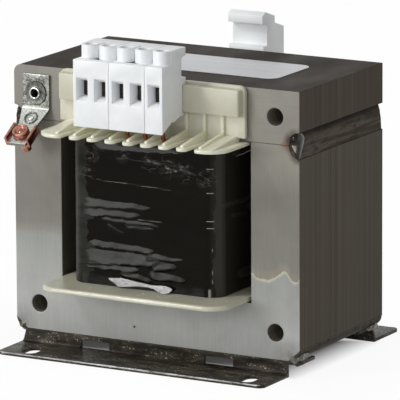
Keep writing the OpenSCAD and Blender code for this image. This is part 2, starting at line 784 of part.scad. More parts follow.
module earth_saddle() {
    inner = tab_lip_w + 2 * saddle_gap;
    color([0.72, 0.42, 0.32]) at_lip() translate([0, -lip_mid, 0]) difference() {
        translate([-inner / 2 - saddle_t, -saddle_l / 2, -saddle_gap - saddle_t])
            cube([inner + 2 * saddle_t, saddle_l, saddle_t + saddle_gap + tab_t + saddle_rise]);
        translate([-inner / 2, -saddle_l / 2 - cut, -saddle_gap])
            cube([inner, saddle_l + 2 * cut, tab_t + saddle_gap + saddle_rise + cut]);
        translate([0, 0, -saddle_gap - saddle_t - cut])
            cylinder(d = earth_shank_d + earth_gap, h = saddle_t + 2 * cut, $fn = round_fn);
    }
}

module earth_screw() {
    color([0.72, 0.42, 0.32]) at_lip() translate([0, -lip_mid, tab_t + seat_gap]) {
        difference() {
            cylinder(d = earth_head_d, h = earth_head_h, $fn = round_fn);
            translate([-earth_head_d, -earth_slot_w / 2, earth_head_h / 2])
                cube([2 * earth_head_d, earth_slot_w, earth_head_h]);
        }
        translate([0, 0, -earth_shank_l])
            cylinder(d = earth_shank_d, h = earth_shank_l + earth_head_h / 2, $fn = round_fn);
    }
}

e_core();
i_core();
left_seam_weld();
right_seam_weld();
left_corner_weld();
right_corner_weld();
front_foot();
rear_foot();
bobbin();
winding();
front_housing_left();
front_housing_middle();
front_housing_right();
rear_housing();
front_clamps();
rear_clamps();
front_clamp_screws();
rear_clamp_screws();
front_leads();
rear_leads();
earth_tab();
earth_rivet();
earth_saddle();
earth_screw();
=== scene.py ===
# %% [markdown]
# # A control transformer, dressed for a photograph
# The solids of the transformer come from CAD and stay where they are. This lesson gives them the small
# radii, seams, welds, wrinkles and finishes that the real object has. Everything is in metres, in the
# frame of the CAD model, so a piece goes where the CAD says.

# %% Load the frame
import math
import random

import bmesh
import bpy
from mathutils import Matrix, Vector, noise


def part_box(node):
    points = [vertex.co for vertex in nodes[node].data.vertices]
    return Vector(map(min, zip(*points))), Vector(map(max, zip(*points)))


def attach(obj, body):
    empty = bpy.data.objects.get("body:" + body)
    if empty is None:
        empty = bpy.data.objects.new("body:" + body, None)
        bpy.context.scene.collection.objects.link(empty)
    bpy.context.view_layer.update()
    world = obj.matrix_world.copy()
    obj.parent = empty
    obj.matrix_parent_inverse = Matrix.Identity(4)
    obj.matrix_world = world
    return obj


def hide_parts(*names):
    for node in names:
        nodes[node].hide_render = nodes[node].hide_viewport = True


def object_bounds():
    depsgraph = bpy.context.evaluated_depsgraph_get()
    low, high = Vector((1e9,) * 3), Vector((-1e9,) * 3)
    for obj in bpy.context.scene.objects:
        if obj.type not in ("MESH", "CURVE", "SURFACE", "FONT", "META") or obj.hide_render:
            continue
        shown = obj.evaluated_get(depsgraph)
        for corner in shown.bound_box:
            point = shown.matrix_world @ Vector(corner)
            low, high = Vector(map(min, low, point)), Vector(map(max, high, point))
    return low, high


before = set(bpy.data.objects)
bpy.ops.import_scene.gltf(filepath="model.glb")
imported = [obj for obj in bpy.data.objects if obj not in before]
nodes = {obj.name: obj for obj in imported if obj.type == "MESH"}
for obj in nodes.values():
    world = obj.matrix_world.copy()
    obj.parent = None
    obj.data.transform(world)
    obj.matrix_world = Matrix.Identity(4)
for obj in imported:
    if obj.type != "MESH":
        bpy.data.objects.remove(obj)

cad_box = [list(corner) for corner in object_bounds()]
MM = 0.001
print("nodes:", len(nodes), "box in mm:", [[round(v / MM, 1) for v in c] for c in cad_box])

# %% [markdown]
# ## Driving sizes
# The core is made of standard sheets, three limb widths from its middle to its side. Its sizes could be
# typed in again, but they would drift from the CAD. Here they are read from the boxes of the nodes, and
# kept in millimetres, because that is how a maker notes them.

# %% Sizes from the frame
def box_mm(node):
    """A node's lowest and highest corners, in mm."""
    return [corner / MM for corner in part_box(node)]


core_low, core_high = box_mm("e_core")
yoke_high = box_mm("i_core")[1]
coil_low, coil_high = box_mm("winding")
HALF_WIDTH = core_high.x
CORE_FRONT, CORE_REAR = core_low.y, core_high.y
LIMB = HALF_WIDTH / 3
HOLE_R = 3.25
HOLE_X = HALF_WIDTH - LIMB / 2
HOLE_HEIGHTS = (core_low.z + LIMB / 2, yoke_high.z - LIMB / 2)
print("limb:", round(LIMB, 2), "holes at:", round(HOLE_X, 2), [round(z, 2) for z in HOLE_HEIGHTS])

# %% [markdown]
# ## The camera
# The photograph was taken from the right and a little above, from far away, so that upright edges stay
# upright. A camera could be aimed with a constraint. Here its three axes are written out from the
# azimuth, the elevation and the small roll that the edges of the core gave.

# %% Camera
AZIMUTH, ELEVATION, ROLL = (math.radians(angle) for angle in (29.46, 12.15, -0.31))
CAMERA_AT = (0.95563, -1.69100, 0.47268)
SENSOR, FOCAL_LENGTH = 36, 480.96

back_axis = Vector((math.sin(AZIMUTH) * math.cos(ELEVATION), -math.cos(AZIMUTH) * math.cos(ELEVATION),
                    math.sin(ELEVATION)))
level = Vector((math.cos(AZIMUTH), math.sin(AZIMUTH), 0))
upright = back_axis.cross(level)
side_axis = math.cos(ROLL) * level + math.sin(ROLL) * upright
up_axis = math.cos(ROLL) * upright - math.sin(ROLL) * level

lens = bpy.data.cameras.new("photo_camera")
lens.sensor_width = SENSOR
lens.lens = FOCAL_LENGTH
camera = bpy.data.objects.new("photo_camera", lens)
camera_turn = Matrix((side_axis, up_axis, back_axis)).transposed().to_4x4()
camera.matrix_world = Matrix.Translation(CAMERA_AT) @ camera_turn
bpy.context.scene.collection.objects.link(camera)
bpy.context.scene.camera = camera
bpy.context.scene.view_settings.view_transform = "Standard"
print("camera at", [round(v, 3) for v in camera.matrix_world.translation])

# %% [markdown]
# ## Finishes
# A finish is a node material. Writing nodes one at a time is slow to read, so a small class keeps the
# tree, the shader and the Object coordinates together. A value that is the same all over goes straight
# onto the shader's own socket. Colours are noted as they look in the picture, from 0 to 255, and turned
# into the linear values that the shader wants.

# %% A helper for finishes
def tone(red, green, blue):
    """A picture's colour as the linear colour of a shader."""
    return tuple((v / 255 / 12.92 if v < 11 else ((v / 255 + 0.055) / 1.055) ** 2.4)
                 for v in (red, green, blue)) + (1.0,)


class Finish:
    """A procedural material on Object coordinates."""

    def __init__(self, name, **values):
        self.material = bpy.data.materials.new(name)
        self.material.use_nodes = True
        self.tree = self.material.node_tree
        self.shader = self.tree.nodes["Principled BSDF"]
        self.place = self.node("TexCoord").outputs["Object"]
        for socket, value in values.items():
            self.shader.inputs[socket.replace("_", " ")].default_value = value

    def node(self, kind, inputs=(), **settings):
        made = self.tree.nodes.new("ShaderNode" + kind)
        for key, value in settings.items():
            setattr(made, key, value)
        for key, value in dict(inputs).items():
            if isinstance(value, bpy.types.NodeSocket):
                self.tree.links.new(value, made.inputs[key])
            else:
                made.inputs[key].default_value = value
        return made

    def spread(self, stretch):
        return self.node("Mapping", {"Vector": self.place, "Scale": stretch}).outputs["Vector"]

    def grain(self, size, stretch=(1, 1, 1), detail=3.0, rough=0.55):
        """Noise whose features are about size millimetres across, from 0 to 1."""
        return self.node("TexNoise", {"Vector": self.spread(stretch), "Scale": 1 / (size * MM),
                                      "Detail": detail, "Roughness": rough}).outputs["Fac"]

    def ramp(self, value, *stops):
        """A colour ramp; a stop is a position and a grey, or a position and a picture's colour."""
        made = self.node("ValToRGB", {"Fac": value})
        while len(made.color_ramp.elements) < len(stops):
            made.color_ramp.elements.new(1.0)
        for element, (position, *colour) in zip(made.color_ramp.elements, stops):
            element.position = position
            element.color = tone(*colour) if len(colour) == 3 else colour * 3 + [1.0]
        return made.outputs["Color"]

    def over(self, length, *stops):
        """A colour ramp over a length in metres, whose stops are in mm, from 0 to 100."""
        return self.ramp(self.times(length, 10.0), *((mm / 100, *colour) for mm, *colour in stops))

    def mix(self, factor, first, second, blend="MIX"):
        made = self.node("Mix", {0: factor, 6: first, 7: second}, data_type="RGBA", blend_type=blend)
        return made.outputs[2]

    def maths(self, operation, first, second=0.0, third=0.0, clamp=False):
        return self.node("Math", {0: first, 1: second, 2: third}, operation=operation,
                         use_clamp=clamp).outputs[0]

    def times(self, first, second, clamp=False):
        return self.maths("MULTIPLY", first, second, clamp=clamp)

    def axis(self, letter):
        return self.node("SeparateXYZ", {"Vector": self.place}).outputs[letter]

    def facing(self, letter):
        """1 where the surface faces along an axis, 0 where it lies along it and -1 where it faces back."""
        normal = self.node("NewGeometry").outputs["Normal"]
        return self.node("SeparateXYZ", {"Vector": normal}).outputs[letter]

    def near(self, point, reach):
        """1 at a point of the front or back face, given as x and z in mm, falling to 0 at reach mm."""
        gap = self.node("VectorMath", {0: self.spread((1, 0, 1)), 1: (point[0] * MM, 0, point[1] * MM)},
                        operation="DISTANCE").outputs["Value"]
        return self.maths("SUBTRACT", 1.0, self.maths("DIVIDE", gap, reach * MM), clamp=True)

    def wear(self, socket, value):
        self.tree.links.new(value, self.shader.inputs[socket])
        return self

    def bump(self, height, depth, strength=1.0):
        made = self.node("Bump", {"Height": height, "Distance": depth * MM, "Strength": strength})
        return self.wear("Normal", made.outputs["Normal"])


print("finishes are ready")

# %% [markdown]
# ## Working on a copy of a CAD node
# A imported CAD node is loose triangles. A copy has its doubles merged and its flat triangles joined into
# whole faces, and then operators can give it radii. One could also rebuild each moulding by hand, but
# the copy keeps every size. The finished piece stands for the node, rides on the one body, and keeps
# its place in its mesh.

# %% Copies and their edges
def solid_copy(node):
    """A bmesh of a CAD node with joined triangles and whole flat faces."""
    shape = bmesh.new()
    shape.from_mesh(nodes[node].data)
    bmesh.ops.remove_doubles(shape, verts=shape.verts, dist=1e-6)
    bmesh.ops.dissolve_limit(shape, angle_limit=math.radians(0.5), verts=shape.verts, edges=shape.edges)
    return shape


def middle_of(edge):
    return (edge.verts[0].co + edge.verts[1].co) / 2


def round_edges(shape, width, steps=2, sharper=40, where=None):
    """Rounds the edges that turn by more than so many degrees, by a width in mm."""
    edges = [e for e in shape.edges if len(e.link_faces) == 2
             and e.calc_face_angle(0) > math.radians(sharper) and (where is None or where(e))]
    bmesh.ops.bevel(shape, geom=edges, offset=width * MM, offset_type="OFFSET", segments=steps,
                    profile=0.5, affect="EDGES", clamp_overlap=False, material=-1)
    return len(edges)


def put(shape, name, finishes, stands_for=(), crease=35):
    """Makes a piece of a bmesh, kept in the CAD box, in place of CAD nodes where they are named."""
    for vert in shape.verts:
        for i in range(3):
            vert.co[i] = min(max(vert.co[i], cad_box[0][i]), cad_box[1][i])
    shape.normal_update()
    mesh = bpy.data.meshes.new(name)
    shape.to_mesh(mesh)
    shape.free()
    if "custom_normal" in mesh.attributes:
        mesh.attributes.remove(mesh.attributes["custom_normal"])
    for finish in finishes:
        mesh.materials.append(finish.material)
    mesh.shade_smooth()
    mesh.set_sharp_from_angle(angle=math.radians(crease))
    piece = bpy.data.objects.new(name, mesh)
    bpy.context.scene.collection.objects.link(piece)
    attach(piece, "root")
    if stands_for:
        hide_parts(*stands_for)
    print(name, len(mesh.polygons), "faces")
    return piece


print("copies are ready")

# %% [markdown]
# ## The faces of the sheets
# The core is a stack of thin sheets. Their faces are grey steel under a thin varnish, which ran down, dried
# and left a tide line. The line could be painted on an image. Here a curve node gives its height along the
# width of the core, and colour ramps follow the distance from it, so nothing has to be loaded.

# %% Varnish and its tide line
# Points of the line, as x and z in mm. The curve covers TIDE_SPAN from TIDE_LOW up, and the colour ramps
# start RAMP_START below the line.
TIDE = ((-HALF_WIDTH, 43.6), (-41, 44.4), (-20, 34), (20, 33), (40.4, 38.3), (42, 37.0), (45.8, 36.3),
        (48.7, 37.0), (52, 39.2), (54, 40.2), (55.3, 39.2), (56.9, 37.2), (58.6, 36.6), (HALF_WIDTH, 38.3))
TIDE_LOW, TIDE_SPAN, RAMP_START = 25.0, 25.0, 19.65


def tide_line(steel, along):
    """How far the line lies above TIDE_LOW, in metres, at a share of the core's width."""
    made = steel.node("FloatCurve", {"Value": along})
    curve = made.mapping.curves[0]
    places = [((x + HALF_WIDTH) / (2 * HALF_WIDTH), (z - TIDE_LOW) / TIDE_SPAN) for x, z in TIDE]
    for place in places[1:-1]:
        curve.points.new(*place)
    curve.points[0].location = places[0]
    curve.points[-1].location = places[-1]
    made.mapping.update()
    return steel.times(made.outputs["Value"], TIDE_SPAN * MM)


def varnished(steel):
    """The colour of a sheet's face, under varnish that is browner above the tide line."""
    along = steel.maths("MULTIPLY_ADD", steel.axis("X"), 1 / (2 * HALF_WIDTH * MM), 0.5)
    wander = steel.times(steel.grain(4, detail=6, rough=0.75), 2.2 * MM)
    above = steel.maths("SUBTRACT", steel.axis("Z"), tide_line(steel, along))
    above = steel.maths("SUBTRACT", steel.maths("ADD", above, wander), (TIDE_LOW - RAMP_START) * MM)
    # Towards the bottom the coat grows paler: partly the varnish's own tone, partly painted light against the
    # shade under the bobbin's flange.
    coat = steel.over(above, (0, 166, 167, 164), (10, 158, 159, 155), (18.5, 149, 151, 147),
                      (20.5, 140, 139, 131), (24, 124, 122, 113), (50, 122, 120, 111),
                      (62, 134, 131, 122), (90, 139, 136, 128))
    line = steel.over(above, (18.4, 0.0), (19.1, 0.3), (19.25, 0.1), (19.5, 1.0), (19.95, 1.0), (20.15, 0.0))
    rust = steel.over(above, (19.7, 0.0), (20.1, 1.0), (23.2, 0.0))
    right_limb = steel.ramp(along, (0.6, 0.05), (0.8, 1.0))
    patchy = steel.ramp(steel.grain(5), (0.35, 0.2), (0.6, 0.75))
    coat = steel.mix(steel.times(steel.times(rust, right_limb), patchy), coat, tone(134, 118, 86))
    return steel.mix(steel.times(line, right_limb), coat, tone(182, 180, 164))


print("tide line from", len(TIDE), "points")

# %% [markdown]
# The heat of the welds has browned the faces about their ends. There is a speck of burnt varnish low down,
# and damp has left a rusty stain beside the seam. Each could be a small decal. A soft spot about a point,
# broken up by noise, needs no mesh of its own.

# %% Burns, and the finished faces
# Each burn: its x and z, how far it reaches, in mm, and its strength.
BURNS = (((58.4, 87.6), 5.5, 2.3), ((59.4, 83.2), 4.2, 1.8), ((-9.3, 11.9), 0.6, 3.0),
         ((-60, 87.5), 4.6, 1.3), ((56, 8), 8, 0.5), ((-58, 8), 8, 0.5))
STAIN_AT, STAIN_REACH = (54.2, 86.2), 2.6


def burnt(steel, coat):
    """A face's colour with its burns and its stain."""
    patchy = steel.ramp(steel.grain(2.2), (0.3, 0.5), (0.6, 1.0))
    for point, reach, strength in BURNS:
        burn = steel.times(steel.near(point, reach), patchy)
        coat = steel.mix(steel.times(burn, strength, clamp=True), coat, tone(58, 42, 27))
    rusty = steel.ramp(steel.grain(0.9), (0.45, 0.0), (0.6, 1.2))
    return steel.mix(steel.times(steel.near(STAIN_AT, STAIN_REACH), rusty), coat, tone(120, 84, 44))


def sheet_face(name, lines):
    """Varnished steel, with rolling lines stretched the way that is given."""
    steel = Finish(name, Metallic=0.25, Roughness=0.5)
    rolled = steel.grain(0.32, lines, detail=2)
    cloud = steel.grain(14, detail=3)
    coat = varnished(steel)
    coat = steel.mix(0.35, coat, steel.ramp(rolled, (0.3, 0.42), (0.7, 0.58)), "OVERLAY")
    coat = steel.mix(0.35, coat, steel.ramp(cloud, (0.3, 0.38), (0.7, 0.62)), "OVERLAY")
    steel.wear("Base Color", burnt(steel, coat))
    steel.wear("Roughness", steel.ramp(rolled, (0.2, 0.42), (0.8, 0.6)))
    return steel.bump(rolled, 0.01, 0.4)


leg_face = sheet_face("leg_sheet_face", (1.0, 1.0, 0.03))
yoke_face = sheet_face("yoke_sheet_face", (0.04, 1.0, 1.0))
print("faces:", leg_face.material.name, yoke_face.material.name, "with", len(BURNS), "burns")

# %% [markdown]
# ## The edges of the sheets
# On the sides and on top the sheets show their cut edges, dark and in fine lines. A stripe texture would be
# too even, so noise is stretched along the edges at two widths: single sheets, and bundles of them. The
# yoke is a little darker than the limbs. Its top is painted darker still, and so is what faces down: both
# are painted shade.

# %% Sheet edges and bores
sheet_edge = Finish("sheet_edge", Roughness=0.6, Specular_IOR_Level=0.05)
each_sheet = sheet_edge.grain(0.7, (0.002, 1, 0.002), detail=2, rough=0.6)
bundle = sheet_edge.grain(3.2, (0.004, 1, 0.004), detail=3, rough=0.7)
smear = sheet_edge.grain(20, (1, 0.4, 0.25), detail=4)
bundle_tone = sheet_edge.ramp(bundle, (0.3, 0.36), (0.7, 0.64))
smear_tone = sheet_edge.ramp(smear, (0.3, 104, 100, 96), (0.7, 148, 140, 128))
edge_up = sheet_edge.facing("Z")
# Painted shade: the top and the faces that look down are darkened by the way they face.
painted_top_shade = sheet_edge.maths("POWER", sheet_edge.maths("MAXIMUM", edge_up, 0.0), 2.0)
painted_under_shade = sheet_edge.times(edge_up, -1.4, clamp=True)
on_yoke = sheet_edge.over(sheet_edge.axis("Z"), (84, 0.0), (90, 1.0))

edge_tone = sheet_edge.ramp(each_sheet, (0.3, 92, 87, 79), (0.5, 104, 99, 90), (0.72, 117, 112, 102))
edge_tone = sheet_edge.mix(0.4, edge_tone, bundle_tone, "OVERLAY")
edge_tone = sheet_edge.mix(on_yoke, edge_tone, tone(228, 221, 213), "MULTIPLY")
edge_tone = sheet_edge.mix(painted_top_shade, edge_tone, tone(131, 120, 108), "MULTIPLY")
edge_tone = sheet_edge.mix(0.3, edge_tone, smear_tone, "OVERLAY")
edge_tone = sheet_edge.mix(painted_under_shade, edge_tone, tone(120, 112, 104), "MULTIPLY")
sheet_edge.wear("Base Color", edge_tone)
sheet_edge.wear("Roughness", sheet_edge.ramp(smear, (0.3, 0.42), (0.7, 0.65)))

# The bores are painted lighter than the sheet edges: painted light against the shade inside the holes.
lit_bore = Finish("bore_painted_lighter", Metallic=0.3, Roughness=0.4)
bore_grain = lit_bore.grain(0.6, (0.01, 1, 0.01))
lit_bore.wear("Base Color", lit_bore.ramp(bore_grain, (0.3, 116, 109, 98), (0.7, 168, 161, 150)))
print("edges:", sheet_edge.material.name, lit_bore.material.name)

# %% [markdown]
# ## Stacking the sheets
# Paint on a smooth block would do from afar. Here the CAD block is cut into rings from front to back, two
# for each sheet, and every other ring is pressed in, so that the ribs are there in the mesh too. Some
# sheets stand a little prouder than others, as they do in a real stack.

# %% Stacked sheets
SHEETS = 100
BURR, HOLE_EDGE = 0.13, 0.4
RIB_DEPTH, UNEVEN = 0.045, 0.02


def from_hole(point):
    """How far a point, in metres, is from the axis of the nearest hole, in mm."""
    return math.hypot(abs(point.x) / MM - HOLE_X, min(abs(point.z / MM - z) for z in HOLE_HEIGHTS))


def cut_across(shape, depth, cuts):
    """Cuts the edges that run from front to back, which leaves rings of faces."""
    deep = [e for e in shape.edges if abs(e.verts[0].co.y - e.verts[1].co.y) > 0.9 * depth]
    bmesh.ops.subdivide_edges(shape, edges=deep, cuts=cuts, use_grid_fill=True)


def stack(node, name, face_finish, seed):
    """The core node with a rib for each sheet and a fine burr round its faces."""
    core = solid_copy(node)
    front, rear = (corner.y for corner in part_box(node))

    def on_face(edge):
        return all(min(abs(v.co.y - front), abs(v.co.y - rear)) < 1e-6 for v in edge.verts)

    def on_hole(edge):
        return on_face(edge) and from_hole(middle_of(edge)) < HOLE_R + 0.75

    round_edges(core, HOLE_EDGE, steps=2, where=on_hole)
    round_edges(core, BURR, steps=1, where=on_face)
    cut_across(core, rear - front, 2 * SHEETS - 1)
    core.normal_update()
    draw = random.Random(seed)
    sunk = [draw.uniform(0.0, UNEVEN) for _ in range(SHEETS + 1)]
    ring_depth = (rear - front - 2 * BURR * MM) / (2 * SHEETS)
    for vert in core.verts:
        place = (vert.co.y - front - BURR * MM) / ring_depth
        if 0.5 < place < 2 * SHEETS - 0.5:
            ring = round(place)
            vert.co -= vert.normal * (sunk[ring // 2] if ring % 2 else RIB_DEPTH) * MM
    for face in core.faces:
        in_hole = from_hole(face.calc_center_median()) < HOLE_R + 0.35
        face.material_index = 0 if abs(face.normal.y) > 0.6 else 2 if in_hole else 1
    return put(core, name, [face_finish, sheet_edge, lit_bore], [node], crease=20)


stack("e_core", "e_sheets", leg_face, 3)
stack("i_core", "i_sheets", yoke_face, 7)

# %% [markdown]
# ## Weld metal
# A weld here is three things. Its bead is dull and streaked along its length, and painted shade darkens it
# above and where it faces down. A drop at the bead's end froze shiny. The lumps at the lower corners are
# rough slag. One grey metal for all of them would look like putty, so each has a finish of its own.

# %% Weld finishes
bead_metal = Finish("weld_bead", Roughness=0.55, Specular_IOR_Level=0.04)
puddle = bead_metal.grain(2.6, (1, 0.35, 1), detail=5, rough=0.62)
strands = bead_metal.grain(1.5, (1, 0.05, 1), detail=3)
dark_strands = bead_metal.ramp(strands, (0.4, 0.75), (0.54, 0.0))
ragged_height = bead_metal.maths("MULTIPLY_ADD", puddle, 3.2 * MM, bead_metal.axis("Z"))
# Painted shade: a ragged dark band along the top of the bead, under the groove's upper edge, and darker faces
# that look down.
painted_groove_shade = bead_metal.over(ragged_height, (89.4, 0.0), (91.4, 1.0))
painted_bead_underside_shade = bead_metal.times(bead_metal.facing("Z"), -1.4, clamp=True)
bead_tone = bead_metal.ramp(puddle, (0.34, 60, 53, 44), (0.46, 92, 85, 74), (0.7, 107, 100, 88))
bead_tone = bead_metal.mix(dark_strands, bead_tone, tone(52, 47, 39))
bead_tone = bead_metal.mix(painted_groove_shade, bead_tone, tone(44, 39, 32))
bead_metal.wear("Base Color", bead_metal.mix(painted_bead_underside_shade, bead_tone, tone(96, 88, 80), "MULTIPLY"))
bead_metal.wear("Roughness", bead_metal.ramp(puddle, (0.3, 0.4), (0.7, 0.6)))
bead_metal.bump(puddle, 0.1, 0.6)

drop_metal = Finish("weld_drop", Metallic=0.85, Roughness=0.16)
skin = drop_metal.grain(2.5, detail=3)
drop_metal.wear("Base Color", drop_metal.ramp(skin, (0.3, 18, 16, 14), (0.7, 62, 58, 54)))
drop_metal.bump(skin, 0.06, 0.5)

lump_metal = Finish("weld_lump", Metallic=0.4, Roughness=0.35)
slag = lump_metal.grain(1.2, detail=4)
slag_tone = lump_metal.ramp(slag, (0.3, 52, 47, 42), (0.5, 100, 95, 88), (0.7, 150, 146, 138))
lump_metal.wear("Base Color", slag_tone)
lump_metal.bump(slag, 0.3, 0.8)
print("weld finishes:", [finish.material.name for finish in (bead_metal, drop_metal, lump_metal)])

# %% [markdown]
# ## The beads
# A bead runs along the groove at each side seam and along each lower corner. It could be a swept circle,
# but the CAD bead already lies where it should. So the CAD bead is cut into rings, and each ring is swelled
# and shifted a little, as the puddles of a weld are. A bead in a groove also spreads to fill it.

# %% Beads
RINGS, RIPPLE = 150, 2.3
SPREAD_DOWN, SPREAD_UP, SPREAD_ALONG = 1.41, 1.25, 1.02


def sunk_under_side(across):
    """How deep a groove's bead lies, in mm, from its lower edge at -1 to its upper edge at 1."""
    return 0.35 + 0.35 * (1 + across) + 0.7 * max(0.0, across) ** 2


def bead(node, name, swell, seed, in_groove=False):
    """A CAD bead cut into rings, each smaller by a share that wanders."""
    weld = solid_copy(node)
    low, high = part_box(node)
    middle = (low + high) / 2
    cut_across(weld, high.y - low.y, RINGS)
    edge_x = abs(max(weld.verts, key=lambda v: v.co.z).co.x) - 0.02 * MM
    for vert in weld.verts:
        y = vert.co.y / MM
        ripple = 0.5 + 0.5 * math.cos(2 * math.pi * (y / RIPPLE + 0.4 * math.sin(0.7 * y + seed)))
        size = 1 - swell * (0.25 * ripple + 0.75 * abs(noise.noise(Vector((seed, 0.2 * y, 0)))))
        vert.co.x = middle.x + (vert.co.x - middle.x) * size
        vert.co.z = middle.z + (vert.co.z - middle.z) * size
        if in_groove:
            across = (vert.co.z - middle.z) / (high.z - middle.z)
            if abs(vert.co.x) > edge_x:
                uneven = 0.3 * (1 - across ** 2) * noise.noise(Vector((seed, 0.25 * y, 2 * across)))
                side = cad_box[1][0] - (sunk_under_side(across) + uneven) * MM
                vert.co.x = math.copysign(side, middle.x)
            vert.co.z = middle.z + (vert.co.z - middle.z) * (SPREAD_DOWN if across < 0 else SPREAD_UP)
            vert.co.y *= SPREAD_ALONG
    return put(weld, name, [bead_metal], [node], crease=60)


bead("left_seam_weld", "left_seam_bead", 0.1, 2.0, in_groove=True)
bead("right_seam_weld", "right_seam_bead", 0.1, 5.0, in_groove=True)
bead("left_corner_weld", "left_corner_bead", 0.2, 9.0)
bead("right_corner_weld", "right_corner_bead", 0.2, 12.0)

# %% [markdown]
# ## Drops and lumps
# Each side seam ends at the front in a drop, and each lower corner in a lump. A metaball would blend with
# the bead, but it is hard to steer. A sphere whose reach differs to either side is simple, and noise makes
# it uneven. The right drop hangs to a point, and its front is flattened low down, so that it mirrors a lamp.

# %% Drops and lumps
FACET_SLOPE, FACET_SHARE = 0.25, 0.93
# Each lump: its middle, and how far it reaches from there to the lower and to the higher side, in mm.
LUMPS = (("front_right_lump", (57.9, -28.5, 6.8), (3.0, 4.8, 2.8), (1.8, 7.6, 3.0)),
         ("rear_right_lump", (57.6, 28.4, 7.0), (2.4, 4.0, 1.8), (1.9, 3.4, 1.6)),
         ("front_left_lump", (-57.4, -29.9, 7.4), (2.4, 2.9, 2.4), (2.4, 2.9, 2.4)),
         ("rear_left_lump", (-57.3, 28.0, 6.8), (2.6, 5.0, 2.2), (2.6, 4.4, 2.2)))


def drop(name, at, low, high, finish, rough, taper=0.0, lean=(0, 0), facet=None):
    """A puddle of weld metal; its lower end may taper and lean, and a facet, in mm, cuts its front there."""
    blob = bmesh.new()
    bmesh.ops.create_uvsphere(blob, u_segments=40, v_segments=28, radius=1.0)
    for vert in blob.verts:
        down = max(0.0, -vert.co.z)
        thin = 1 - taper * down
        lumpy = 1 + rough * noise.noise(vert.co * 2.3 + Vector(at)) + 0.4 * rough * noise.noise(vert.co * 6)
        x, y, z = (part * lumpy * (high[i] if part > 0 else low[i]) for i, part in enumerate(vert.co))
        x, y = x * thin + down * lean[0], y * thin + down * lean[1]
        if facet is not None:
            proud = max(0.0, facet + FACET_SLOPE * z - y)
            y += FACET_SHARE * proud * min(1.0, max(0.0, 0.5 - 0.6 * z))
        vert.co = Vector((x, y, z)) * MM
    bmesh.ops.translate(blob, vec=Vector(at) * MM, verts=blob.verts)
    return put(blob, name, [finish], crease=80)


drop("right_seam_drop", (58.5, -31.2, 88.1), (2.7, 3.2, 7.0), (1.4, 5.0, 3.2), drop_metal, 0.05,
     taper=0.6, lean=(1.2, -1.4), facet=-1.3)
drop("left_seam_drop", (-58.2, -30.2, 88.4), (1.6, 2.2, 2.6), (1.4, 2.4, 2.2), drop_metal, 0.05)
for lump_name, lump_at, lump_low, lump_high in LUMPS:
    drop(lump_name, lump_at, lump_low, lump_high, lump_metal, 0.16)

# %% [markdown]
# ## The feet
# A foot is a strip of sheet folded to a Z, welded under the core and dipped in black varnish with it. The
# varnish is glossy and uneven. A plain black would hide that, so noise at two sizes varies the coat, and
# pale specks on it are a painted glint. A painted highlight runs along the outer edge.

# %% Foot finishes
varnish = Finish("foot_varnish", Roughness=0.25, Specular_IOR_Level=0.12)
runs = varnish.grain(3.0, (0.3, 1, 1), detail=6, rough=0.65)
specks = varnish.grain(0.75, detail=2)
dark_coat = varnish.ramp(runs, (0.3, 22, 18, 13), (0.5, 57, 52, 44), (0.75, 98, 91, 79))
# Painted highlight: sparse pale specks of glint on the coat.
glint_runs = varnish.ramp(runs, (0.46, 0.0), (0.58, 1.0))
glint = varnish.times(varnish.ramp(specks, (0.6, 0.0), (0.69, 1.0)), glint_runs)
varnish.wear("Base Color", varnish.mix(glint, dark_coat, tone(186, 181, 170)))
varnish.wear("Roughness", varnish.ramp(specks, (0.35, 0.25), (0.7, 0.5)))
varnish.bump(runs, 0.3, 0.8)

# Painted highlight: a bright line along the outer edge of each foot.
painted_edge_highlight = Finish("painted_edge_highlight", Metallic=0.25, Roughness=0.3)
edge_highlight_grain = painted_edge_highlight.grain(2.5, (0.4, 1, 1), detail=5)
edge_highlight_tone = painted_edge_highlight.ramp(edge_highlight_grain, (0.38, 44, 42, 40), (0.48, 150, 149, 148), (0.66, 216, 216, 218))
painted_edge_highlight.wear("Base Color", edge_highlight_tone)
print("foot finishes:", varnish.material.name, painted_edge_highlight.material.name)

# %% [markdown]
# A folded sheet has a radius in its bend and smaller ones on its cut edges. The bevel operator gives them
# one after the other: first the bend, then the outer edge, then all that is still sharp.

# %% Feet
FLANGE_TOP = 1.3
BEND_R, OUTER_R, CUT_R = 0.9, 0.5, 0.2
LIT_EDGE_WIDTH, LIT_EDGE_FROM = 0.4, 0.84


def fold_foot(node, name, side):
    """A foot with its radii, on the side -1 for the front or 1 for the back."""
    foot = solid_copy(node)
    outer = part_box(node)[0 if side < 0 else 1].y
    inner = (CORE_FRONT if side < 0 else CORE_REAR) * MM

    def on_flange(point, y):
        return abs(point.y - y) < 1e-5 and abs(point.z - FLANGE_TOP * MM) < 1e-5

    def in_bend(edge):
        return on_flange(middle_of(edge), inner) and edge.calc_length() > 2 * MM

    def on_outer(edge):
        return all(on_flange(vert.co, outer) for vert in edge.verts)

    round_edges(foot, BEND_R, steps=4, where=in_bend)
    round_edges(foot, OUTER_R, steps=3, sharper=50, where=on_outer)
    round_edges(foot, CUT_R, steps=2, sharper=50)
    for face in foot.faces:
        middle = face.calc_center_median()
        # Faces along the outer edge take the painted highlight.
        on_lit_edge = abs(middle.y - outer) < LIT_EDGE_WIDTH * MM and middle.z > LIT_EDGE_FROM * MM
        face.material_index = int(on_lit_edge)
    return put(foot, name, [varnish, painted_edge_highlight], [node])


fold_foot("front_foot", "front_foot_sheet", -1)
fold_foot("rear_foot", "rear_foot_sheet", 1)

# %% [markdown]
# ## The bobbin
# The bobbin is one moulding of natural nylon, ivory and a little translucent, with a comb of guide fins.
# Glass would be far too clear for it. A subsurface weight lets light go some way in, and the thin plate and
# fins are painted paler, as painted light for the glow that comes through them. The rail above them is less
# glossy than the rest.

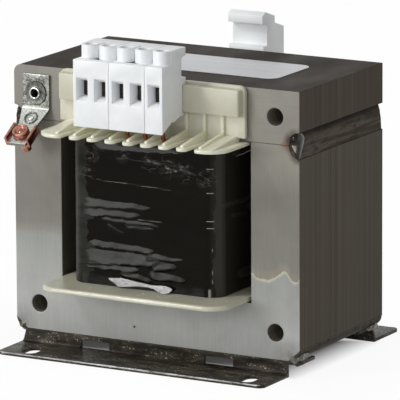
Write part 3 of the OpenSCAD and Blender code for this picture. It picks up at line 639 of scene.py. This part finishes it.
# %% Nylon
nylon = Finish("ivory_nylon", Roughness=0.32, Specular_IOR_Level=0.85, Subsurface_Weight=0.35,
               Subsurface_Radius=(1.0, 0.9, 0.55), Subsurface_Scale=0.0025)
nylon_height = nylon.axis("Z")
outward = nylon.maths("ABSOLUTE", nylon.axis("Y"))
flow = nylon.grain(16, (1, 1, 0.6), detail=3)
ivory = nylon.ramp(flow, (0.3, 190, 188, 166), (0.5, 199, 197, 177), (0.75, 208, 206, 189))
# Painted light: the thin plate and fins are painted paler, the fins most.
thin_part = nylon.over(nylon_height, (80, 0.0), (83, 1.0), (94.5, 1.0), (96, 0.0))
on_fins = nylon.over(outward, (34.8, 0.0), (35.6, 1.0))
lit_tone = nylon.mix(on_fins, tone(217, 215, 197), tone(231, 229, 207))
nylon.wear("Base Color", nylon.mix(thin_part, ivory, lit_tone))
matt_rail = nylon.over(nylon_height, (94.5, 0.0), (96, 0.25))
mould_gloss = nylon.ramp(nylon.grain(5), (0.3, 0.18), (0.7, 0.28))
nylon.wear("Roughness", nylon.maths("ADD", matt_rail, mould_gloss))
nylon.bump(nylon.grain(1.5), 0.02, 0.3)
print("bobbin finish:", nylon.material.name)

# %% [markdown]
# The lower flange has a wide rounding above, which catches a long highlight, and a smaller one below. The
# other outer edges have the radius of a mould. Inner corners stay sharp: a bevel there would only add faces.

# %% Bobbin
LOW_FLANGE_X, LOW_FLANGE_Y = 39.0, 54.0
RIM_TOP_R, RIM_FOOT_R, MOULD_R = 1.2, 0.5, 0.3
flange_top = coil_low.z - 0.1


def low_rim(edge, above=0.0):
    """True for the outer edges of the lower flange that lie above a height in mm."""
    middle = middle_of(edge) / MM
    outer = max(abs(middle.x) - LOW_FLANGE_X, abs(middle.y) - LOW_FLANGE_Y) > -2.5
    return edge.is_convex and above < middle.z < flange_top + 0.3 and outer


bobbin = solid_copy("bobbin")
rounded = round_edges(bobbin, RIM_TOP_R, steps=5, sharper=50, where=lambda e: low_rim(e, flange_top - 0.6))
rounded += round_edges(bobbin, RIM_FOOT_R, steps=3, sharper=50, where=low_rim)
rounded += round_edges(bobbin, MOULD_R, steps=2, sharper=50, where=lambda e: e.is_convex)
put(bobbin, "bobbin_moulding", [nylon], ["bobbin"])
print("bobbin edges rounded:", rounded)

# %% [markdown]
# ## The winding
# Turns of black film tape cover the coil. The film is glossy, and it is slack in places, so it stands out
# in long puckers that catch the light above, while the flat film mirrors what is darker. A cloth
# simulation would give puckers too, but not where the photograph has them. Here they are noted one by one
# for the front, in mm along the film from the front's middle, and drawn at random for the other sides.

# %% Puckers of the slack film
# Each pucker: its left and right end along the film and its height there, how tall it is at each end, and
# how far it leans out for each millimetre of its height. Those that start at FROM_CORNER fade in.
FROM_CORNER = -33
PUCKERS = [((FROM_CORNER, 59.4), (3.6, 59.6), 3.8, 1.6, 0.24),
           ((FROM_CORNER, 56.2), (-0.8, 56.2), 4.2, 1.7, 0.24),
           ((-18.5, 53.9), (7.4, 53.3), 1.5, 0.9, 0.24), ((-7.8, 52.6), (4.8, 51.8), 2.4, 1.0, 0.24),
           ((-15.4, 51.9), (-7.7, 48.9), 1.2, 0.8, 0.26), ((-24, 44.2), (4.8, 43.6), 2.4, 2.0, 0.24),
           ((FROM_CORNER, 39.0), (7.0, 40.2), 6.0, 3.8, 0.22), ((1.0, 41.6), (17.6, 41.5), 2.6, 0.6, 0.24),
           ((-26, 36.6), (-1.5, 35.6), 3.0, 1.6, 0.24), ((-10.1, 34.2), (3.4, 32.6), 2.2, 1.6, 0.24),
           ((3.6, 38.4), (13.9, 38.6), 4.2, 1.6, 0.23), ((2.2, 35.0), (17.5, 34.2), 3.4, 1.7, 0.23),
           ((-21, 81.2), (19, 82.2), 3.6, 2.4, 0.22), ((1.2, 77.6), (8, 75.8), 1.0, 0.6, 0.31),
           ((9, 75.6), (15, 74.4), 1.3, 0.8, 0.31), ((15, 75.4), (22.9, 73.3), 1.2, 0.5, 0.31)]
COIL_CORNER = 6.0
flat_x, flat_y = coil_high.x - COIL_CORNER, coil_high.y - COIL_CORNER
corner_arc = COIL_CORNER * math.pi / 2
film_length = 4 * (flat_x + flat_y + corner_arc)
draw_pucker = random.Random(11)
right_middle = flat_x + corner_arc + flat_y
for side_middle in (right_middle, film_length / 2, -right_middle):
    for _ in range(9):
        across, height, reach = (draw_pucker.uniform(*span) for span in ((-26, 26), (32, 81), (6, 20)))
        left_end = (side_middle + across - reach, height)
        right_end = (side_middle + across + reach, height + draw_pucker.uniform(-1.5, 1.5))
        talls_and_lean = [draw_pucker.uniform(*span) for span in ((1.2, 4.0), (0.6, 1.6), (0.2, 0.25))]
        PUCKERS.append((left_end, right_end, *talls_and_lean))
print("film:", round(film_length, 1), "mm round the coil,", len(PUCKERS), "puckers")

# %% [markdown]
# Each vertex of the film will carry its state: 0 is tight, 0.5 loose and 1 a painted highlight. The finish
# reads it as an attribute. Tight film is near black. Loose film is painted grey, partly for the air under it
# and partly as a painted sheen of its reflections, and a highlight is painted pale. Film that faces sideways
# is painted lighter, a painted sheen too. Fine curly scratches lie in a few places. They are lines where a
# noise passes its middle value.

# %% The film's finish
# Each scratched place: its x and z, and how far it reaches, in mm.
SCRATCHES = (((-22, 77.5), 4.0), ((-8.6, 78.0), 3.6), ((3, 76.4), 4.4), ((10, 75.4), 5.0),
             ((17, 74.2), 5.0), ((26.4, 72.4), 4.6), ((-24, 70.0), 4.0))
film = Finish("tape_film", Roughness=0.12, Specular_IOR_Level=0.085)
state = film.node("Attribute", attribute_name="loose_and_sheen").outputs["Fac"]
# Painted light: loose film is painted grey as a sheen, highlights are painted pale, and sideways film is
# painted lighter.
loose_and_sheen = film.ramp(state, (0.17, 0.0), (0.33, 1.0))
painted_highlight = film.ramp(state, (0.6, 0.0), (0.95, 1.0))
painted_side_sheen = film.ramp(film.maths("ABSOLUTE", film.facing("X")), (0.3, 0.0), (0.9, 1.0))
tight = film.ramp(film.grain(9, (0.3, 0.3, 1)), (0.3, 9, 6, 1), (0.7, 15, 11, 5))
tight = film.mix(painted_side_sheen, tight, tone(50, 47, 40))
loose_and_sheen_tone = film.ramp(film.grain(6, (0.25, 0.25, 1)), (0.3, 26, 26, 23), (0.5, 39, 39, 35), (0.75, 54, 54, 50))
loose_and_sheen_tone = film.mix(painted_side_sheen, loose_and_sheen_tone, tone(66, 64, 59))
film_tone = film.mix(painted_highlight, film.mix(loose_and_sheen, tight, loose_and_sheen_tone), tone(176, 174, 168))

scratched = 0.0
for scratch_at, scratch_reach in SCRATCHES:
    spot = film.ramp(film.near(scratch_at, scratch_reach), (0.0, 0.0), (0.6, 0.9))
    scratched = film.maths("MAXIMUM", spot, scratched)
haze = film.ramp(film.grain(2.2, (0.5, 0.5, 1.3)), (0.46, 0.0), (0.68, 0.6))
film_tone = film.mix(film.times(haze, scratched), film_tone, tone(60, 58, 54))
from_middle = film.maths("SUBTRACT", film.grain(3.6, (0.6, 0.6, 1.2), detail=2.5), 0.5)
curls = film.ramp(film.maths("ABSOLUTE", from_middle), (0.004, 1.0), (0.02, 0.0))
broken = film.ramp(film.grain(1.6), (0.4, 0.1), (0.6, 1.0))
film_tone = film.mix(film.times(film.times(curls, broken), scratched), film_tone, tone(104, 102, 97))
film.wear("Base Color", film_tone)
crinkle = film.grain(2.4, (0.5, 0.5, 1.4), detail=4)
film.wear("Roughness", film.ramp(crinkle, (0.3, 0.08), (0.75, 0.24)))
film.bump(crinkle, 0.05, 0.35)
print("film scratched in", len(SCRATCHES), "places")

# %% [markdown]
# The film overlaps itself at the corners of the front, and there it is loose in two strips. Short dashes, a
# broken edge and the loose end there are painted highlights. Small functions say how loose it is at a place,
# and where a highlight is painted. They are soft steps, so that the grid of the mesh doesn't show.

# %% Where the film is loose
# Bands of z in which the left strip is wider, and the heights of the painted highlight dashes at the right
# corner, in mm.
SLACK_BANDS = ((53.0, 61.0), (33.2, 43.6))
CORNER_DASHES = (76.4, 67.5, 57.0, 54.5)
LEFT_STRIP, RIGHT_STRIP = (-34.4, -24.0), (29.6, 34.5)
DASH, BRIGHT_EDGE, BRIGHT_HEIGHTS = (26.2, 29.2), 28.6, (33.5, 47.0)
LOOSE_END, LOOSE_END_TOP = (26.85, 28.15), (32.4, 31.4)


def waver(*place):
    """Blender's noise at a place, about -1 to 1."""
    return noise.noise(Vector(place))


def smooth(start, end, value):
    """A soft step from 0 at the start to 1 at the end."""
    share = min(1.0, max(0.0, (value - start) / (end - start)))
    return share * share * (3 - 2 * share)


def between(start, stop, value, soft):
    """1 from start to stop, with a soft step at each end."""
    return smooth(start - soft, start + soft, value) * smooth(stop + soft, stop - soft, value)


def thin_line(away, half, soft):
    """1 on a line, falling to 0 away from it."""
    return smooth(half + soft, half - soft, abs(away))


def overlap(length, z):
    """The state of the film where it overlaps itself."""
    if abs(length) > 36:
        return 0.0
    ragged = 2.2 * waver(0.3 * z, 7, 2) + 0.8 * waver(1.1 * z, 3, 2)
    for bottom, top in SLACK_BANDS:
        ragged += 3.2 * between(bottom, top, z, 0.6)
    state_here = 0.5 * between(LEFT_STRIP[0], LEFT_STRIP[1] + ragged, length, 0.4)
    state_here = max(state_here, 0.3 * between(RIGHT_STRIP[0] - 0.3 * ragged, RIGHT_STRIP[1], length, 0.4))
    # Painted highlights: dashes at the right corner, a broken bright edge and the loose end.
    for dash_z in CORNER_DASHES:
        state_here = max(state_here, thin_line(z - dash_z, 0.2, 0.1) * between(*DASH, length, 0.2))
    bright = thin_line(length - BRIGHT_EDGE - 0.5 * waver(0.5 * z, 1, 1), 0.325, 0.125)
    bright *= between(*BRIGHT_HEIGHTS, z, 0.5) * smooth(-0.15, 0.2, waver(0.33 * z, 4, 6))
    end = between(LOOSE_END[0] - 0.2 * ragged, LOOSE_END[1], length, 0.25) * smooth(*LOOSE_END_TOP, z)
    return max(state_here, 0.9 * bright, 0.82 * end)


print("loose bands:", SLACK_BANDS, "dashes:", len(CORNER_DASHES))

# %% [markdown]
# A pucker is a shallow wedge: it leans out downwards and stops at a crisp lower edge, so that its slope
# mirrors the light above, and the steepest puckers get a painted highlight. The edges of the tape are low
# steps, with a painted highlight along a stretch.

# %% How far the film stands out
# Each edge of the tape: its height, its slope, and the stretch where it has a painted highlight and how
# bright.
TAPE_EDGES = ((77.0, -0.03, -12, 20, 0.74), (67.6, -0.035, -20, 12, 0.9), (54.9, -0.01, -3, 8, 0.9))
TAPE_STEP, HIGHLIGHT_LEAN = 0.05, 0.3


def puckered(length, z):
    """How far the puckers stand out at a place, in mm, and the state that they give the film."""
    out, state_here = 0.0, 0.0
    for (x0, z0), (x1, z1), tall0, tall1, lean in PUCKERS:
        for wrap in (0, film_length, -film_length):
            share = (length + wrap - x0) / (x1 - x0)
            if not 0 < share < 1:
                continue
            sway = 0.5 * waver(0.22 * (length + wrap), z0, 1)
            narrow = math.sqrt(smooth(1.0, 0.88, share) * smooth(0.0, 0.12, share))
            tall = (tall0 + (tall1 - tall0) * share) * narrow
            below = z0 + (z1 - z0) * share + sway + tall / 2 - z
            if tall > 0.15 and below > 0:
                fade = smooth(-29.0, -21.0, length) if x0 == FROM_CORNER else 1.0
                out += fade * lean * min(below, tall) * smooth(tall + 0.7, tall + 0.05, below)
                # Puckers that lean steeply get a painted highlight on top of the loose state.
                sheen_level = 0.5
                if lean > HIGHLIGHT_LEAN:
                    sheen_level += 0.32 * smooth(0.0, 0.3, waver(0.9 * length, 1.6 * z, 2))
                state_here = max(state_here, sheen_level * smooth(0.0, 0.3, below) * smooth(tall + 0.1, tall - 0.2, below))
    return out, state_here


def stepped(length, z):
    """How far the edges of the tape stand out at a place, in mm, and their painted highlight."""
    out, tape_edge_highlight = 0.0, 0.0
    for edge_z, slope, start, stop, sheen_level in TAPE_EDGES:
        below = edge_z + slope * length + 0.25 * waver(0.06 * length, edge_z, 5) - z
        if below > 0:
            out += TAPE_STEP * smooth(0.0, 0.6, below) * smooth(7.0, 1.0, below)
        if start < length < stop:
            sheen_level *= 0.85 + 0.25 * waver(0.4 * length, edge_z, 9)
            tape_edge_highlight = max(tape_edge_highlight, sheen_level * thin_line(below - 0.15, 0.18, 0.08))
    return out, tape_edge_highlight


def slack(length, z):
    """How far the film stands out, in mm, and its state."""
    length = (length + film_length / 2) % film_length - film_length / 2
    billow = 0.10 * waver(0.05 * length, 0.16 * z, 3) + 0.05 * waver(0.2 * length, 0.5 * z, 8)
    pucker, pucker_state = puckered(length, z)
    step, tape_edge_highlight = stepped(length, z)
    return billow + pucker + step, max(overlap(length, z), pucker_state, tape_edge_highlight)


print("tape edges:", len(TAPE_EDGES))

# %% [markdown]
# A flat grid is wound round the coil: its width becomes the way round, four flat sides and four rounded
# corners, and its height becomes the coil's. A tube of many sides could be pushed into shape instead, but a
# grid keeps the columns even. Its two rims are then extruded inwards to the tube of the bobbin.

# %% Winding the film
COLUMNS, ROWS = 560, 150
TUBE_X, TUBE_Y = 23.0, 35.0
INSET, DEEPEST, TOP_EASE = 0.05, -0.2, 1.2


def wound(length):
    """The point on the coil, and the way out of it, so many mm along the film from the front's middle."""
    gone = (length + flat_x) % film_length
    corners = ((flat_x, -flat_y), (flat_x, flat_y), (-flat_x, flat_y), (-flat_x, -flat_y))
    for number, (x, y) in enumerate(corners):
        flat = 2 * (flat_y if number % 2 else flat_x)
        if gone <= flat + corner_arc or number == 3:
            angle = (number - 1) * math.pi / 2 + max(0.0, gone - flat) / COIL_CORNER
            out = Vector((math.cos(angle), math.sin(angle), 0))
            ahead = Vector((-out.y, out.x, 0))
            return Vector((x, y, 0)) + out * COIL_CORNER - ahead * max(0.0, flat - gone), out
        gone -= flat + corner_arc


tape = bmesh.new()
bmesh.ops.create_grid(tape, x_segments=COLUMNS, y_segments=ROWS, size=0.5)
film_state_layer = tape.verts.layers.float.new("loose_and_sheen")
coil_height = coil_high.z - coil_low.z
for vert in tape.verts:
    film_at = (vert.co.x + 0.5) * film_length
    film_z = coil_low.z + (vert.co.y + 0.5) * coil_height
    on_coil, way_out = wound(film_at)
    stands_out, vert[film_state_layer] = slack(film_at, film_z)
    eased = smooth(0.0, TOP_EASE, coil_high.z - film_z)
    vert.co = (on_coil + way_out * eased * max(DEEPEST, stands_out - INSET) + Vector((0, 0, film_z))) * MM
bmesh.ops.remove_doubles(tape, verts=tape.verts, dist=1e-6)
rims = [e for e in tape.edges if e.is_boundary]
inward = bmesh.ops.extrude_edge_only(tape, edges=rims)["geom"]
bmesh.ops.scale(tape, vec=(TUBE_X / coil_high.x, TUBE_Y / coil_high.y, 1),
                verts=[g for g in inward if isinstance(g, bmesh.types.BMVert)])
bmesh.ops.recalc_face_normals(tape, faces=tape.faces)
put(tape, "taped_winding", [film], ["winding"], crease=50)

# %% [markdown]
# The last turn of film ends in a small fold at the foot of the coil. It is a narrow grid whose width swells
# and shrinks along it, tilted up, so that it mirrors the lamp above. Solidify without a thickness gives it a
# back, which lies in the same place as its front.

# %% The fold at the end of the film
# Places along the fold, in mm from the front's middle, and its width there.
FOLD_WIDTHS = ((-14.6, 0.5), (-11.8, 1.6), (-9.6, 3.0), (-6.0, 2.3), (-2.2, 1.3), (2.6, 0.9), (5.6, 1.3),
               (7.6, 2.4), (10.2, 2.5), (11.8, 1.6), (12.6, 0.4))
FOLD_FRONT, FOLD_Z, FOLD_TILT = -41.7, 31.9, 0.62
fold_gloss = Finish("film_fold", Roughness=0.16, Specular_IOR_Level=0.5)
fold_gloss.wear("Base Color", fold_gloss.ramp(fold_gloss.grain(3), (0.3, 24, 23, 21), (0.7, 46, 45, 43)))
fold = bmesh.new()
bmesh.ops.create_grid(fold, x_segments=len(FOLD_WIDTHS) - 1, y_segments=2, size=0.5)
for vert in fold.verts:
    fold_x, fold_width = FOLD_WIDTHS[round((vert.co.x + 0.5) * (len(FOLD_WIDTHS) - 1))]
    fold_top = FOLD_Z - 0.3 - 0.045 * (fold_x + 14) + 0.28 * fold_width
    # The grid's first row is the fold's top.
    fold_z = fold_top - (0.5 + vert.co.y) * fold_width
    vert.co = Vector((fold_x, FOLD_FRONT - FOLD_TILT * (FOLD_Z - fold_z), fold_z)) * MM
bmesh.ops.solidify(fold, geom=fold.faces, thickness=0.0)
bmesh.ops.recalc_face_normals(fold, faces=fold.faces)
put(fold, "film_end_fold", [fold_gloss], crease=40)

# %% [markdown]
# ## The terminals
# White housings clip on the bobbin's rail. They could be modelled afresh, but the CAD shape is right, so a
# copy of it only gets the small radii of a mould. The rear one is painted a little whiter, as painted light
# for the light that the core keeps from it.

# %% Housings
HOUSING_R = 0.2


def moulded_white(name, dark, light):
    """A glossy white plastic with a faint cast and the fine grain of a mould."""
    made = Finish(name, Roughness=0.38)
    made.wear("Base Color", made.ramp(made.grain(8, detail=2), (0.3, *dark), (0.7, *light)))
    made.wear("Roughness", made.ramp(made.grain(2), (0.3, 0.3), (0.7, 0.46)))
    return made.bump(made.grain(0.6, detail=2), 0.012, 0.35)


white = moulded_white("white_moulding", (238, 241, 243), (245, 247, 249))
# Painted light: the rear housing's white is a lighter copy of the same moulding.
brighter_painted_white = moulded_white("white_moulding_painted_lighter", (244, 247, 249), (250, 252, 253))
for housing_node, housing_white in (("front_housing_left", white), ("front_housing_middle", white),
                                    ("front_housing_right", white), ("rear_housing", brighter_painted_white)):
    housing = solid_copy(housing_node)
    round_edges(housing, HOUSING_R, steps=2, sharper=30)
    put(housing, housing_node + "_moulding", [housing_white], [housing_node])

# %% [markdown]
# Under each tower sits a screw, behind each wire entry a clamp, and the coil's leads come up from below.
# The screws get small radii. The clamps and leads show little, so they keep their CAD meshes and only get a
# finish: dull brass, painted dark as painted shade inside the wire entries, and copper under brown enamel.

# %% Screws, clamps and leads
SCREW_R = 0.12


def metal(name, dark, light, roughness, size=1.2):
    """A plain metal that varies between two colours, in marks of a size in mm."""
    made = Finish(name, Metallic=1.0, Roughness=roughness)
    marks = made.grain(size, detail=5)
    made.wear("Base Color", made.ramp(marks, (0.3, *dark), (0.7, *light)))
    made.wear("Roughness", made.ramp(marks, (0.3, roughness * 0.7), (0.7, min(1.0, roughness * 1.4))))
    return made.bump(marks, 0.03, 0.4)


screw_metal = metal("plated_screw", (150, 150, 148), (205, 205, 202), 0.3)
# Painted shade: the clamps' brass is painted dark.
shaded_brass = metal("clamp_brass_painted_dark", (44, 42, 40), (84, 80, 74), 0.5)
enamel = metal("enamelled_copper", (92, 52, 38), (146, 88, 66), 0.35)
for screw_node in ("front_clamp_screws", "rear_clamp_screws"):
    screws = solid_copy(screw_node)
    round_edges(screws, SCREW_R, steps=2, sharper=50)
    put(screws, screw_node + "_turned", [screw_metal], [screw_node])
for kept_node, kept_finish in (("front_clamps", shaded_brass), ("rear_clamps", shaded_brass),
                               ("front_leads", enamel), ("rear_leads", enamel)):
    nodes[kept_node].data.materials.clear()
    nodes[kept_node].data.materials.append(kept_finish.material)
    print(kept_node, "keeps its mesh, in", kept_finish.material.name)

# %% [markdown]
# ## The earth tab
# A zinc plated tab is riveted to the upper left corner, and a coppered saddle clamps the earth wire on its
# lip. The plating shows flakes, which are the cells of a Voronoi texture, and where the sheet faces up it is
# painted lighter, as painted light from above. The bend gets its radius first, because it would take the cut
# edges with it later.

# %% Earth tab and saddle
TAB_X, BEND_Z, TAB_SHEET = -HOLE_X, HOLE_HEIGHTS[1] - 6.0, 1.0
TAB_BEND_R, TAB_CUT_R, SADDLE_CUT_R = 0.8, 0.18, 0.22
zinc = Finish("zinc_flakes", Metallic=0.9, Roughness=0.35)
cells = zinc.node("TexVoronoi", {"Vector": zinc.place, "Scale": 1 / (0.45 * MM)}).outputs["Color"]
flake = zinc.node("SeparateColor", {"Color": cells}).outputs["Red"]
zinc.wear("Base Color", zinc.ramp(flake, (0.0, 88, 89, 85), (0.5, 116, 118, 112), (1.0, 160, 162, 155)))
zinc.wear("Roughness", zinc.ramp(flake, (0.0, 0.25), (1.0, 0.5)))
zinc.bump(zinc.grain(0.8, detail=4), 0.03, 0.5)
up_lit_zinc = metal("zinc_painted_lighter", (150, 152, 146), (206, 208, 202), 0.3, size=0.5)
coppered = metal("coppered_steel", (122, 72, 60), (196, 144, 128), 0.28, size=1.6)


def folded(node, name, finishes, cut_r):
    """A folded sheet with its radii; faces that look up take the last finish."""
    def in_bend(edge):
        at_bend = abs(middle_of(edge).z - BEND_Z * MM) < TAB_BEND_R * MM
        return at_bend and not edge.is_convex and edge.calc_length() > 5 * MM

    sheet = solid_copy(node)
    round_edges(sheet, TAB_BEND_R, steps=4, sharper=30, where=in_bend)
    round_edges(sheet, cut_r, steps=2, sharper=50)
    for face in sheet.faces:
        # Faces that look up take the finish that is painted lighter, as painted light.
        face.material_index = len(finishes) - 1 if face.normal.z > 0.35 else 0
    return put(sheet, name, finishes, [node])


folded("earth_tab", "earth_tab_sheet", [zinc, up_lit_zinc], TAB_CUT_R)
folded("earth_saddle", "earth_saddle_sheet", [coppered], SADDLE_CUT_R)

# %% [markdown]
# A hollow rivet, a pressed ring with a boss, and a screw are round, so each is a half outline that is spun
# about its axis. The rivet's lip is rolled over, which leaves a bright ring about a dark bore, and its
# flange is duller. A lathe modifier would do the same, but the operator leaves a plain mesh.

# %% Rivet and pressed ring
# Half outlines, as radius and height over the seat, in mm.
RIVET = ((1.55, -16), (3.0, -16), (3.0, 1.1), (4.3, 1.1), (4.5, 1.3), (4.4, 1.5), (3.9, 1.5), (3.1, 1.25),
         (2.35, 1.4), (2.3, 1.95), (2.15, 2.2), (1.9, 2.25), (1.65, 2.1), (1.55, 1.7))
RIVET_LIP = 2.34
RING = ((2.1, -0.3), (2.75, -0.3), (2.7, 0.12), (2.5, 0.26), (2.3, 0.26), (2.12, 0.1))
BOSS = ((0.05, -0.3), (1.3, -0.3), (1.15, 0.12), (0.8, 0.3), (0.05, 0.34))
RING_DOWN, RING_OUT = 4.6, 0.62


def sloped(degrees):
    """The way down a slope that leans to the front, and the way out of its upper face."""
    angle = math.radians(degrees)
    return Vector((0, -math.cos(angle), -math.sin(angle))), Vector((0, -math.sin(angle), math.cos(angle)))


def spun(outline, at, axis, name, finishes, stands_for=(), rim=math.inf):
    """Spins an outline about an axis; beyond the radius rim the last finish takes over."""
    shape = bmesh.new()
    verts = [shape.verts.new((r * MM, 0, h * MM)) for r, h in outline]
    edges = [shape.edges.new(pair) for pair in zip(verts, verts[1:] + verts[:1])]
    bmesh.ops.spin(shape, geom=verts + edges, cent=(0, 0, 0), axis=(0, 0, 1), angle=2 * math.pi, steps=48,
                   use_merge=True)
    bmesh.ops.remove_doubles(shape, verts=shape.verts, dist=1e-6)
    bmesh.ops.recalc_face_normals(shape, faces=shape.faces)
    for face in shape.faces:
        face.material_index = int(face.calc_center_median().xy.length > rim * MM)
    turn = Vector((0, 0, 1)).rotation_difference(Vector(axis)).to_matrix().to_4x4()
    shape.transform(Matrix.Translation(Vector(at) * MM) @ turn)
    return put(shape, name, finishes, stands_for)


rivet_metal = metal("rivet_metal", (150, 150, 148), (232, 232, 230), 0.22)
rivet_shade = metal("rivet_flange", (70, 70, 67), (128, 128, 122), 0.35)
spun(RIVET, (TAB_X, CORE_FRONT, HOLE_HEIGHTS[1]), (0, -1, 0), "earth_rivet_rolled",
     [rivet_metal, rivet_shade], ["earth_rivet"], rim=RIVET_LIP)
slope_down, slope_out = sloped(42)
ring_at = Vector((TAB_X, CORE_FRONT - TAB_SHEET, BEND_Z)) + RING_DOWN * slope_down + RING_OUT * slope_out
spun(RING, ring_at, slope_out, "earth_mark_ring", [zinc])
spun(BOSS, ring_at, slope_out, "earth_mark_boss", [rivet_metal])

# %% [markdown]
# The earth screw has a raised head, dished in the middle. It sits square on the tab's lip, which is less
# steep than the slope above it, so its seat is found by going down the slope and then along the lip.

# %% Earth screw
SCREW = ((0.02, -7.6), (1.5, -7.6), (1.8, -7.3), (1.8, 0), (3.0, 0), (3.2, 0.2), (3.2, 1.7), (3.05, 2.1),
         (2.7, 2.35), (2.3, 2.3), (1.9, 2.0), (1.5, 1.6), (0.9, 1.5), (0.5, 1.75), (0.02, 1.8))
SLOPE_LENGTH, SCREW_DOWN, SEAT_OUT = 8.8, 5.1, 1.05
lip_down, lip_out = sloped(32)
lip_start = Vector((TAB_X, CORE_FRONT, BEND_Z)) + SLOPE_LENGTH * slope_down
head_seat = lip_start + SCREW_DOWN * lip_down + SEAT_OUT * lip_out
spun(SCREW, head_seat, lip_out, "earth_screw_turned", [coppered], ["earth_screw"])

# %% [markdown]
# ## The label
# A bare silver label lies on the top yoke. It is a grid of one face with its corners rounded by a vertex
# bevel and a little thickness from an extrusion. Its finish has only the fine lines of brushed foil.

# %% Label
LABEL_SIZE, LABEL_AT = (71, 29.5), (5.2, -0.7)
LABEL_CORNER, LABEL_THICK, LABEL_GAP = 4.2, 0.16, 0.02
foil = Finish("bare_label", Metallic=0.15, Roughness=0.4)
brushed = foil.grain(0.9, (0.03, 1, 1), detail=4)
foil.wear("Base Color", foil.ramp(brushed, (0.3, 196, 197, 200), (0.7, 224, 225, 228)))
foil.wear("Roughness", foil.ramp(brushed, (0.3, 0.3), (0.7, 0.5)))
label = bmesh.new()
bmesh.ops.create_grid(label, x_segments=1, y_segments=1, size=0.5)
bmesh.ops.scale(label, vec=Vector((*LABEL_SIZE, 1)) * MM, verts=label.verts)
bmesh.ops.translate(label, vec=Vector((*LABEL_AT, yoke_high.z + LABEL_GAP)) * MM, verts=label.verts)
bmesh.ops.bevel(label, geom=label.verts, offset=LABEL_CORNER * MM, offset_type="OFFSET", segments=8,
                profile=0.5, affect="VERTICES", material=-1)
raised = bmesh.ops.extrude_face_region(label, geom=label.faces)["geom"]
bmesh.ops.translate(label, vec=(0, 0, LABEL_THICK * MM),
                    verts=[g for g in raised if isinstance(g, bmesh.types.BMVert)])
bmesh.ops.recalc_face_normals(label, faces=label.faces)
put(label, "bare_label_plate", [foil])

# %% [markdown]
# ## The floor
# The object stands on a pale floor. More light would make it white, but it would bleach the object too. So
# the floor glows white to the camera, in reflections and through glass, where it adds no light, and close
# to the object it keeps its own shading, so that the shadow stays.

# %% Floor
SHADE_X, SHADE_Y, FLOOR_HALF = HALF_WIDTH, 34, 6.0


def seen(material_tree):
    """1 for a ray that comes from the camera, a reflection or glass."""
    path = material_tree.nodes.new("ShaderNodeLightPath")
    total = path.outputs["Is Camera Ray"]
    for ray in ("Is Glossy Ray", "Is Transmission Ray"):
        add = material_tree.nodes.new("ShaderNodeMath")
        add.operation = "ADD"
        add.use_clamp = True
        material_tree.links.new(total, add.inputs[0])
        material_tree.links.new(path.outputs[ray], add.inputs[1])
        total = add.outputs[0]
    return total


paper = Finish("pale_floor", Roughness=0.9, Specular_IOR_Level=0.1)
paper.wear("Base Color", paper.ramp(paper.grain(30), (0.3, 232, 232, 231), (0.7, 236, 236, 235)))
glow = paper.node("Emission", {"Color": (1, 1, 1, 1), "Strength": 1.0})
out_x = paper.maths("DIVIDE", paper.maths("ABSOLUTE", paper.axis("X")), SHADE_X * MM)
out_y = paper.maths("DIVIDE", paper.maths("ABSOLUTE", paper.axis("Y")), SHADE_Y * MM)
far_out = paper.maths("DIVIDE", paper.maths("MAXIMUM", out_x, out_y), 4.0)
glowing = paper.times(seen(paper.tree), paper.ramp(far_out, (0.185, 0.05), (0.25, 0.93), (0.5, 0.98)))
floor_mix = paper.node("MixShader", {0: glowing, 1: paper.shader.outputs["BSDF"], 2: glow.outputs[0]})
paper.tree.links.new(floor_mix.outputs[0], paper.tree.nodes["Material Output"].inputs["Surface"])
ground = bmesh.new()
bmesh.ops.create_grid(ground, x_segments=2, y_segments=2, size=FLOOR_HALF)
floor_mesh = bpy.data.meshes.new("floor")
ground.to_mesh(floor_mesh)
ground.free()
floor_mesh.materials.append(paper.material)
floor = bpy.data.objects.new("floor", floor_mesh)
bpy.context.scene.collection.objects.link(floor)
print("floor:", 2 * FLOOR_HALF, "m wide")

# %% [markdown]
# ## The light
# Soft studio light comes from the front left: a panel, a wide panel for an even fill, and a small lamp above
# for crisp highlights. The world is dim to the object and white to the camera and in reflections.

# %% World and lamps
ROOM_LIGHT, AIM_HEIGHT = 0.38, 0.06
world = bpy.data.worlds.new("studio")
bpy.context.scene.world = world
world.use_nodes = True
room = world.node_tree
strength = room.nodes.new("ShaderNodeMapRange")
strength.inputs["To Min"].default_value = ROOM_LIGHT
strength.inputs["To Max"].default_value = 1.0
room.links.new(seen(room), strength.inputs["Value"])
room.links.new(strength.outputs["Result"], room.nodes["Background"].inputs["Strength"])
room.nodes["Background"].inputs["Color"].default_value = (1, 1, 1, 1)


def lamp(name, azimuth, elevation, distance, size, power):
    """A square area lamp that faces the object, azimuth degrees to the right of its front."""
    light = bpy.data.lights.new(name, "AREA")
    light.shape = "SQUARE"
    light.size = size
    light.energy = power
    a, e = math.radians(azimuth), math.radians(elevation)
    way = Vector((math.sin(a) * math.cos(e), -math.cos(a) * math.cos(e), math.sin(e)))
    made = bpy.data.objects.new(name, light)
    at = Matrix.Translation(way * distance + Vector((0, 0, AIM_HEIGHT)))
    made.matrix_world = at @ way.to_track_quat("Z", "Y").to_matrix().to_4x4()
    bpy.context.scene.collection.objects.link(made)
    return made


lamp("key_panel", -34, 12, 2.4, 0.76, 13.4)
lamp("wide_panel", -8, 16, 3.2, 2.8, 18.5)
lamp("bright_lamp", -40.3, 42, 1.3, 0.17, 3.8)
